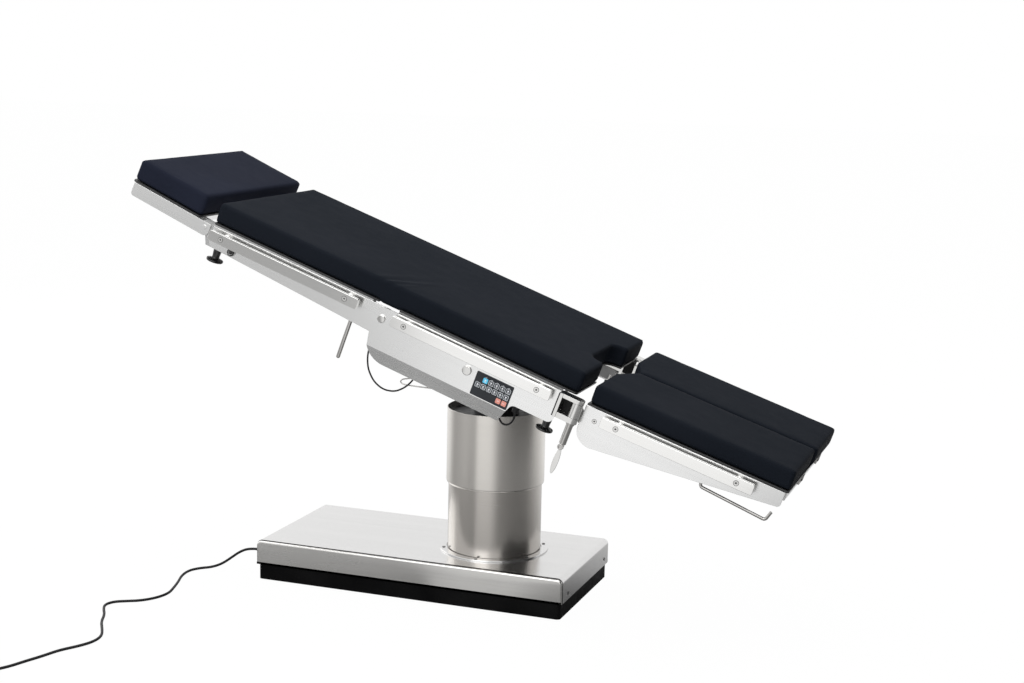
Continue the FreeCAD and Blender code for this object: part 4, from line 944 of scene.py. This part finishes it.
hinge_cap = turned_cap("hinge_cap", 0.0109, 0.0053, 0.0008)
tilt_cap = turned_cap("tilt_cap", 0.0129, 0.0053, 0.0010)
for side, sign in SIDES:
    face = 0.279 * sign
    set_screws(f"hinge_cap_{side}", hinge_cap, [SEAT @ Vector((0, face, 0))], (0, sign, 0), "seat",
               "pivot_bolts")
    set_screws(f"tilt_cap_{side}", tilt_cap, [SEAT @ Vector((0.260, face, -0.026))], (0, sign, 0), "seat",
               "pivot_bolts")


# Sockets and cheek screws
# A black bush lines each round socket of the back section, and a flush screw holds each leg cheek.
knob_black = moulded_material("knob_black", (0.004, 0.004, 0.0045), 0.2, size=25.0, grain=0.05, lift=1.0)
for side, sign in SIDES:
    bush = ring(f"socket_bush_{side}", (-0.456, 0.2751 * sign, -0.014), 0.0102, 0.0061, 0.0062 * sign, "Y", 56)
    ease(bush, 0.0012, 3, 50)
    finish_piece(lay_in(bush, SEAT), knob_black, "back", "knob_black")
cheek_screw = screw("cheek_screw", 0.0062, 0.0003)
for side, sign in SIDES:
    set_screws(f"leg_cheek_screw_{side}", cheek_screw, [LEG @ Vector((0.032, 0.276 * sign, -0.028))],
               (0, sign, 0), f"leg_{side}")


# Keypad
# A charcoal membrane panel with raised rounded keys: one cyan, two salmon and ten dark ones with a pale
# rim, each with a small printed arrow or bar.
keypad_face = moulded_material("keypad_face", (0.02, 0.0225, 0.0265), 0.5, size=20.0, grain=0.1, lift=1.1,
                               specular=0.2)
key_rim = moulded_material("key_rim", (0.55, 0.58, 0.61), 0.5, grain=0.05, lift=1.1)
key_dark = moulded_material("key_dark", (0.03, 0.033, 0.04), 0.5, grain=0.05)
key_cyan = moulded_material("key_cyan", (0.08, 0.48, 0.72), 0.45, grain=0.05, lift=1.1)
key_salmon = moulded_material("key_salmon", (0.62, 0.24, 0.19), 0.45, grain=0.05, lift=1.1)
symbol_white = moulded_material("symbol_white", (0.68, 0.7, 0.73), 0.5, grain=0.05, lift=1.1)
PANEL_FACE = -0.2806
KEY_HALF = 0.0066
KEY_PITCH = 0.0162
KEY_ROW = 0.017
FIRST_KEY = (0.299, -0.030)
pad_panel = block("keypad_panel", (0.287, PANEL_FACE, -0.0775), (0.391, -0.279, -0.014))
round_edges(pad_panel, lambda a, b: abs(a.y - b.y) > 0.001, 0.003, 5)
finish_piece(lay_in(ease(pad_panel, 0.0003), SEAT), keypad_face, "seat", "keypad_face", "keypad")


def key(name, x, z, rim, middle):
    """A raised key with a coloured rim and middle."""
    tile = block(name, (x - KEY_HALF, PANEL_FACE - 0.0006, z - KEY_HALF),
                 (x + KEY_HALF, PANEL_FACE, z + KEY_HALF))
    round_edges(tile, lambda a, b: abs(a.y - b.y) > 0.0003, 0.0022, 4)
    select_faces(tile, lambda centre, normal: normal.y < -0.9)
    inset(0.001)
    done()
    tile.data.materials.append(rim)
    tile.data.materials.append(middle)
    for face in tile.data.polygons:
        inner = face.normal.y < -0.9 and abs(face.center.x - x) < 0.004 and abs(face.center.z - z) < 0.004
        face.material_index = 1 if inner else 0
    return tile


def arrow(x, z, angle, size=0.0034):
    """A printed triangle that points one way."""
    deselect()
    bpy.ops.mesh.primitive_cylinder_add(vertices=3, radius=size, depth=0.0002,
                                        location=(x, PANEL_FACE - 0.0007, z), rotation=(math.pi / 2, angle, 0))
    return settle(bpy.context.active_object)


def bar(x, z, width, height):
    """A printed bar."""
    return block("bar", (x - width / 2, PANEL_FACE - 0.0008, z - height / 2),
                 (x + width / 2, PANEL_FACE - 0.0005, z + height / 2))


key_pieces = []
symbols = []
for level, columns in ((0, range(1, 6)), (1, range(6)), (2, range(4, 6))):
    for column in columns:
        x = FIRST_KEY[0] + KEY_PITCH * column
        z = FIRST_KEY[1] - KEY_ROW * level
        rim, middle = key_rim, key_dark
        if (level, column) == (0, 1):
            rim = middle = key_cyan
        if level == 2:
            rim = middle = key_salmon
        key_pieces.append(key("key", x, z, rim, middle))
        if level == 2:
            symbols.append(bar(x, z, 0.0052, 0.0011))
        else:
            symbols.append(arrow(x, z + 0.0008, math.pi / 2 * ((column + level) % 4)))
            symbols.append(bar(x, z - 0.0033, 0.0052, 0.0009))
        if level == 0:
            symbols.append(bar(x, z + 0.0085, 0.0045, 0.0008))
finish_piece(lay_in(join("keypad_keys", key_pieces), SEAT), None, "seat", "keypad_face")
finish_piece(lay_in(join("keypad_symbols", symbols), SEAT), symbol_white, "seat", "keypad_face")


# Knobs
# Black moulded screw knobs with a waisted neck and a rounded disc, two under the seat and two under the
# back.
KNOB_ASIDE = 0.2555
KNOB_PROFILE = ((0.0, 0.0), (0.0108, 0.0), (0.0114, -0.0015), (0.0108, -0.010), (0.0098, -0.021),
                (0.0112, -0.0255), (0.0165, -0.0278), (0.0220, -0.0296), (0.0229, -0.0318),
                (0.0220, -0.0345), (0.0160, -0.0358), (0.0, -0.0350))


def knob(name, node, x, y, top):
    """Spin a profile round the screw's axis: neck, flare, rounded disc and a dished underside."""
    deselect()
    bpy.ops.mesh.primitive_plane_add(size=0.01)
    piece = bpy.context.active_object
    piece.name = name
    editing(piece, "VERT", "SELECT")
    bpy.ops.mesh.merge(type="CENTER")
    here = Vector((0, 0))
    for radius, height in KNOB_PROFILE[1:]:
        step = Vector((radius - here.x, 0, height - here.y))
        bpy.ops.mesh.extrude_region_move(TRANSFORM_OT_translate={"value": step})
        here = Vector((radius, height))
    bpy.ops.mesh.select_all(action="SELECT")
    bpy.ops.mesh.spin(steps=48, angle=math.tau, center=(0, 0, 0), axis=(0, 0, 1))
    bpy.ops.mesh.select_all(action="SELECT")
    bpy.ops.mesh.remove_doubles(threshold=0.00005)
    bpy.ops.mesh.normals_make_consistent(inside=False)
    done()
    shade(piece, 40)
    piece.matrix_world = Matrix.Translation((x, y, top))
    settle(piece)
    return finish_piece(lay_in(piece, SEAT), knob_black, node, "knob_black", node)


for side, sign in SIDES:
    aside = KNOB_ASIDE * sign
    knob(f"seat_knob_grip_{side}", f"seat_knob_{side}", 0.494, aside, -0.0523)
    knob(f"back_knob_grip_{side}", f"back_knob_{side}", -0.504, aside, -0.027)
    spindle = ease(drum(f"seat_knob_spindle_{side}", (0.494, aside, -0.0535), 0.0049, 0.041, "Z", 32), 0.0004)
    finish_piece(lay_in(spindle, SEAT), pin_steel, f"seat_knob_{side}", "pin_steel")


# Leg hinges, clamps and bars
# Machined bright parts: a fork and pin on the seat, the knuckle of the leg, a long clamp screw with a flat
# swinging blade, and the bent release bar under each leg.
machined_steel = brushed_material("machined_steel", (0.74, 0.735, 0.72), 0.18, scale=(200, 200, 20),
                                  depth=0.04)
clamp_steel = brushed_material("clamp_steel", (0.5, 0.49, 0.475), 0.16, scale=(60, 60, 60), depth=0.04)
HINGE = Vector((0.560, 0.295, 0))
CLAMP_PIN = -0.0928
for side, sign in SIDES:
    eased_copy(f"leg_fork_{side}", f"leg_bracket_{side}", 0.0007, machined_steel, "seat", "pin_steel")
    # Painted shade: a black strip beside the fork plate stands for the dark gap there, and a black block in the
    # fork, behind the knuckle, stands for the shaded barrel that fills the opening.
    low, high = sorted((0.2805 * sign, 0.3112 * sign))
    gap_shade = ease(block(f"fork_gap_shade_{side}", (0.5097, low, -0.0262), (0.5131, high, 0.0352)), 0.0005)
    finish_piece(lay_in(gap_shade, SEAT), cable_rubber, "seat", "knob_black")
    low, high = sorted((0.258 * sign, 0.282 * sign))
    opening_shade = ease(block(f"fork_opening_shade_{side}", (0.5212, low, -0.0128), (0.5435, high, 0.0258)), 0.001)
    finish_piece(lay_in(opening_shade, SEAT), cable_rubber, "seat", "knob_black")
    eased_copy(f"leg_arm_{side}", f"leg_knuckle_{side}", 0.0007, machined_steel, f"leg_spread_{side}",
               "pin_steel")

    # Clamp: a polished shank that ends in an eye, and a leaf-shaped blade on the eye's pin.
    eye = ring(f"clamp_eye_{side}", (HINGE.x, (HINGE.y + 0.0112) * sign, CLAMP_PIN), 0.0078, 0.0042,
               -0.0026 * sign, "Y", 40)
    eye = lay_in(ease(eye, 0.0008, 2, 50), SEAT)
    finish_piece(eye, clamp_steel, f"clamp_stem_{side}", "pin_steel")
    eased_copy(f"clamp_shank_{side}", f"clamp_stem_{side}", 0.0009, clamp_steel, f"clamp_stem_{side}",
               "pin_steel")
    deselect()
    bpy.ops.mesh.primitive_cylinder_add(vertices=48, radius=1, depth=1, rotation=(math.pi / 2, 0, 0),
                                        location=(HINGE.x, HINGE.y * sign, -0.1335))
    leaf = bpy.context.active_object
    leaf.scale = (0.0074, 0.0353, 0.0040)
    settle(leaf)
    ease(leaf, 0.0007, 3, 50)
    neck = ease(drum("neck", (HINGE.x, HINGE.y * sign, -0.106), 0.0021, 0.016, "Z", 24), 0.0003)
    blade = lay_in(join(f"clamp_leaf_{side}", [leaf, neck]), SEAT)
    finish_piece(blade, machined_steel, f"clamp_blade_{side}", "pin_steel", f"clamp_blade_{side}")
    eased_copy(f"release_rod_{side}", f"release_bar_{side}", 0.0006, clamp_steel, f"release_bar_{side}",
               "pin_steel")
paint_node("seat_cables", cable_rubber)


# Foot brackets
# A short steel socket under the foot end of each leg takes a foot plate.
for side, inner, outer in (("near", -0.034, -0.088), ("far", 0.148, 0.196)):
    low, high = sorted((inner, outer))
    piece = block(f"foot_bracket_{side}", (0.506, low, -0.0215), (0.5325, high, -0.0035))
    select_faces(piece, lambda centre, normal: normal.x > 0.9)
    inset(0.003, (-0.012, 0, 0))
    done()
    finish_piece(lay_in(ease(piece, 0.0009), LEG), clamp_steel, f"leg_{side}", "pin_steel")


# Guide wire
# A thin bent steel wire under the near side cover, open at the head end, keeps the loose cable in place.
WIRE_ROUTE = ((0.176, -0.095), (0.150, -0.103), (0.124, -0.119), (0.102, -0.131), (0.093, -0.137),
              (0.091, -0.144), (0.099, -0.148), (0.124, -0.141), (0.152, -0.132), (0.176, -0.124))
guide_wire = wire("guide_wire", [(along, -0.240, height) for along, height in WIRE_ROUTE], 0.0034, 3, 8)
finish_piece(lay_in(guide_wire, SEAT), clamp_steel, "seat", "pin_steel")


# Back lever
# A short tapered rod with a rounded tip, on a round hub inside the side wall of the back section.
hub = ease(drum("lever_hub", (-0.093, -0.2497, -0.020), 0.012, 0.0195, "Y", 48), 0.001)
rod = drum("lever_rod", (-0.093, -0.239, -0.020), 0.0055, -0.141, "Z", 40, top=0.0053)
round_edges(rod, lambda a, b: a.z < -0.155 and b.z < -0.155, 0.0042, 4)
lever = lay_in(join("back_lever_rod", [shade(rod), hub]), SEAT)
finish_piece(lever, clamp_steel, "back_lever", "pin_steel", "back_lever")

for model in (small_screw, rail_screw, hinge_cap, tilt_cap, cheek_screw):
    bpy.data.objects.remove(model)
finish_piece(mains_plug_pins, pin_steel, "base", "pin_steel")


# Floor, backdrop and light
# A plain white studio floor and surround, lit by a large soft box overhead and weaker ones at the sides.
# Polished metal mirrors the floor, so the floor glows for mirrored rays as a painted reflection: painted shade
# close to the table and on the right, bright behind it and on the left.
deselect()
bpy.ops.mesh.primitive_plane_add(size=60, location=(0, 0, -0.0002))
floor = bpy.context.active_object
floor.name = "studio_floor"
floor_white, tree, shader = new_material("floor_white", (0.9, 0.9, 0.9), 0.9, specular=0.1)


def graded(kind, stops, reach=1.0):
    """A grey ramp over the floor, by direction round the column or by distance from it."""
    coordinates = tree.nodes.new("ShaderNodeTexCoord")
    mapping = tree.nodes.new("ShaderNodeMapping")
    mapping.inputs["Location"].default_value = (-COLUMN_X / reach, 0, 0)
    mapping.inputs["Scale"].default_value = (1 / reach, 1 / reach, 1 / reach)
    gradient = tree.nodes.new("ShaderNodeTexGradient")
    gradient.gradient_type = kind
    ramp = tree.nodes.new("ShaderNodeValToRGB")
    points = ramp.color_ramp.elements
    points[0].position, points[1].position = stops[0][0], stops[-1][0]
    for stop, _ in stops[1:-1]:
        points.new(stop)
    for point, (_, level) in zip(points, stops):
        point.color = (level, level, level, 1)
    tree.links.new(coordinates.outputs["Object"], mapping.inputs["Vector"])
    tree.links.new(mapping.outputs["Vector"], gradient.inputs["Vector"])
    tree.links.new(gradient.outputs["Fac"], ramp.inputs["Fac"])
    return ramp.outputs["Color"]


path = tree.nodes.new("ShaderNodeLightPath")
by_direction = graded("RADIAL", ((0.0, 0.3), (0.1, 0.5), (0.14, 0.45), (0.179, 0.25), (0.185, 1.0),
                                 (0.278, 1.0), (0.328, 0.25), (0.44, 0.2), (0.52, 0.25), (0.60, 0.6),
                                 (0.68, 1.0), (0.933, 1.0), (1.0, 0.3)))
by_distance = graded("SPHERICAL", ((0.0, 1.0), (0.3, 0.95), (0.7, 0.55), (1.0, 0.42)), reach=2.2)
# Painted reflection: the floor's glow for mirrored rays, graded by direction and by distance from the column.
painted_reflection = add_math(tree, "MULTIPLY", by_direction, by_distance)
glow = tree.nodes.new("ShaderNodeEmission")
glow.inputs["Color"].default_value = (1, 1, 1, 1)
tree.links.new(add_math(tree, "MAXIMUM", path.outputs["Is Camera Ray"], painted_reflection), glow.inputs["Strength"])
seen = add_math(tree, "MAXIMUM", path.outputs["Is Camera Ray"], path.outputs["Is Transmission Ray"])
share = add_math(tree, "ADD", add_math(tree, "MULTIPLY", seen, 0.985),
                 add_math(tree, "MULTIPLY", path.outputs["Is Glossy Ray"], 0.85))
mix = tree.nodes.new("ShaderNodeMixShader")
tree.links.new(share, mix.inputs[0])
tree.links.new(shader.outputs[0], mix.inputs[1])
tree.links.new(glow.outputs[0], mix.inputs[2])
tree.links.new(mix.outputs[0], tree.nodes["Material Output"].inputs["Surface"])
floor.data.materials.append(floor_white)

# A black flag stands on the right, out of the picture, and keeps light off the foot end.
flag = block("studio_flag", (2.3, -3.0, 0.0), (2.32, 1.0, 2.8))
flag.data.materials.append(plinth_black)

world = bpy.data.worlds.new("studio")
bpy.context.scene.world = world
world.use_nodes = True
tree = world.node_tree
sky = tree.nodes["Background"]
sky.inputs["Color"].default_value = (1, 1, 1, 1)
path = tree.nodes.new("ShaderNodeLightPath")
plain = add_math(tree, "MAXIMUM", path.outputs["Is Camera Ray"], path.outputs["Is Glossy Ray"])
plain = add_math(tree, "MAXIMUM", plain, path.outputs["Is Transmission Ray"])
tree.links.new(ranged(tree, plain, 0.8, 1.0), sky.inputs["Strength"])


def soft_box(name, place, aim, size, power):
    """A rectangular area light that faces a point."""
    data = bpy.data.lights.new(name, "AREA")
    data.shape = "RECTANGLE"
    data.size, data.size_y = size
    data.energy = power
    lamp = placed(name, data)
    way = Vector(aim) - Vector(place)
    lamp.matrix_world = Matrix.Translation(place) @ way.to_track_quat("-Z", "Y").to_matrix().to_4x4()


soft_box("top_box", (0.2, -0.3, 4.8), (0, 0, 0.6), (8.0, 6.0), 240)
soft_box("left_box", (-4.6, 2.0, 2.6), (0, 0, 0.7), (4.0, 4.0), 60)
soft_box("front_box", (-0.9, -6.2, 3.2), (0, 0, 0.6), (4.0, 4.0), 80)
bpy.context.scene.view_settings.view_transform = "Standard"

bpy.context.view_layer.update()
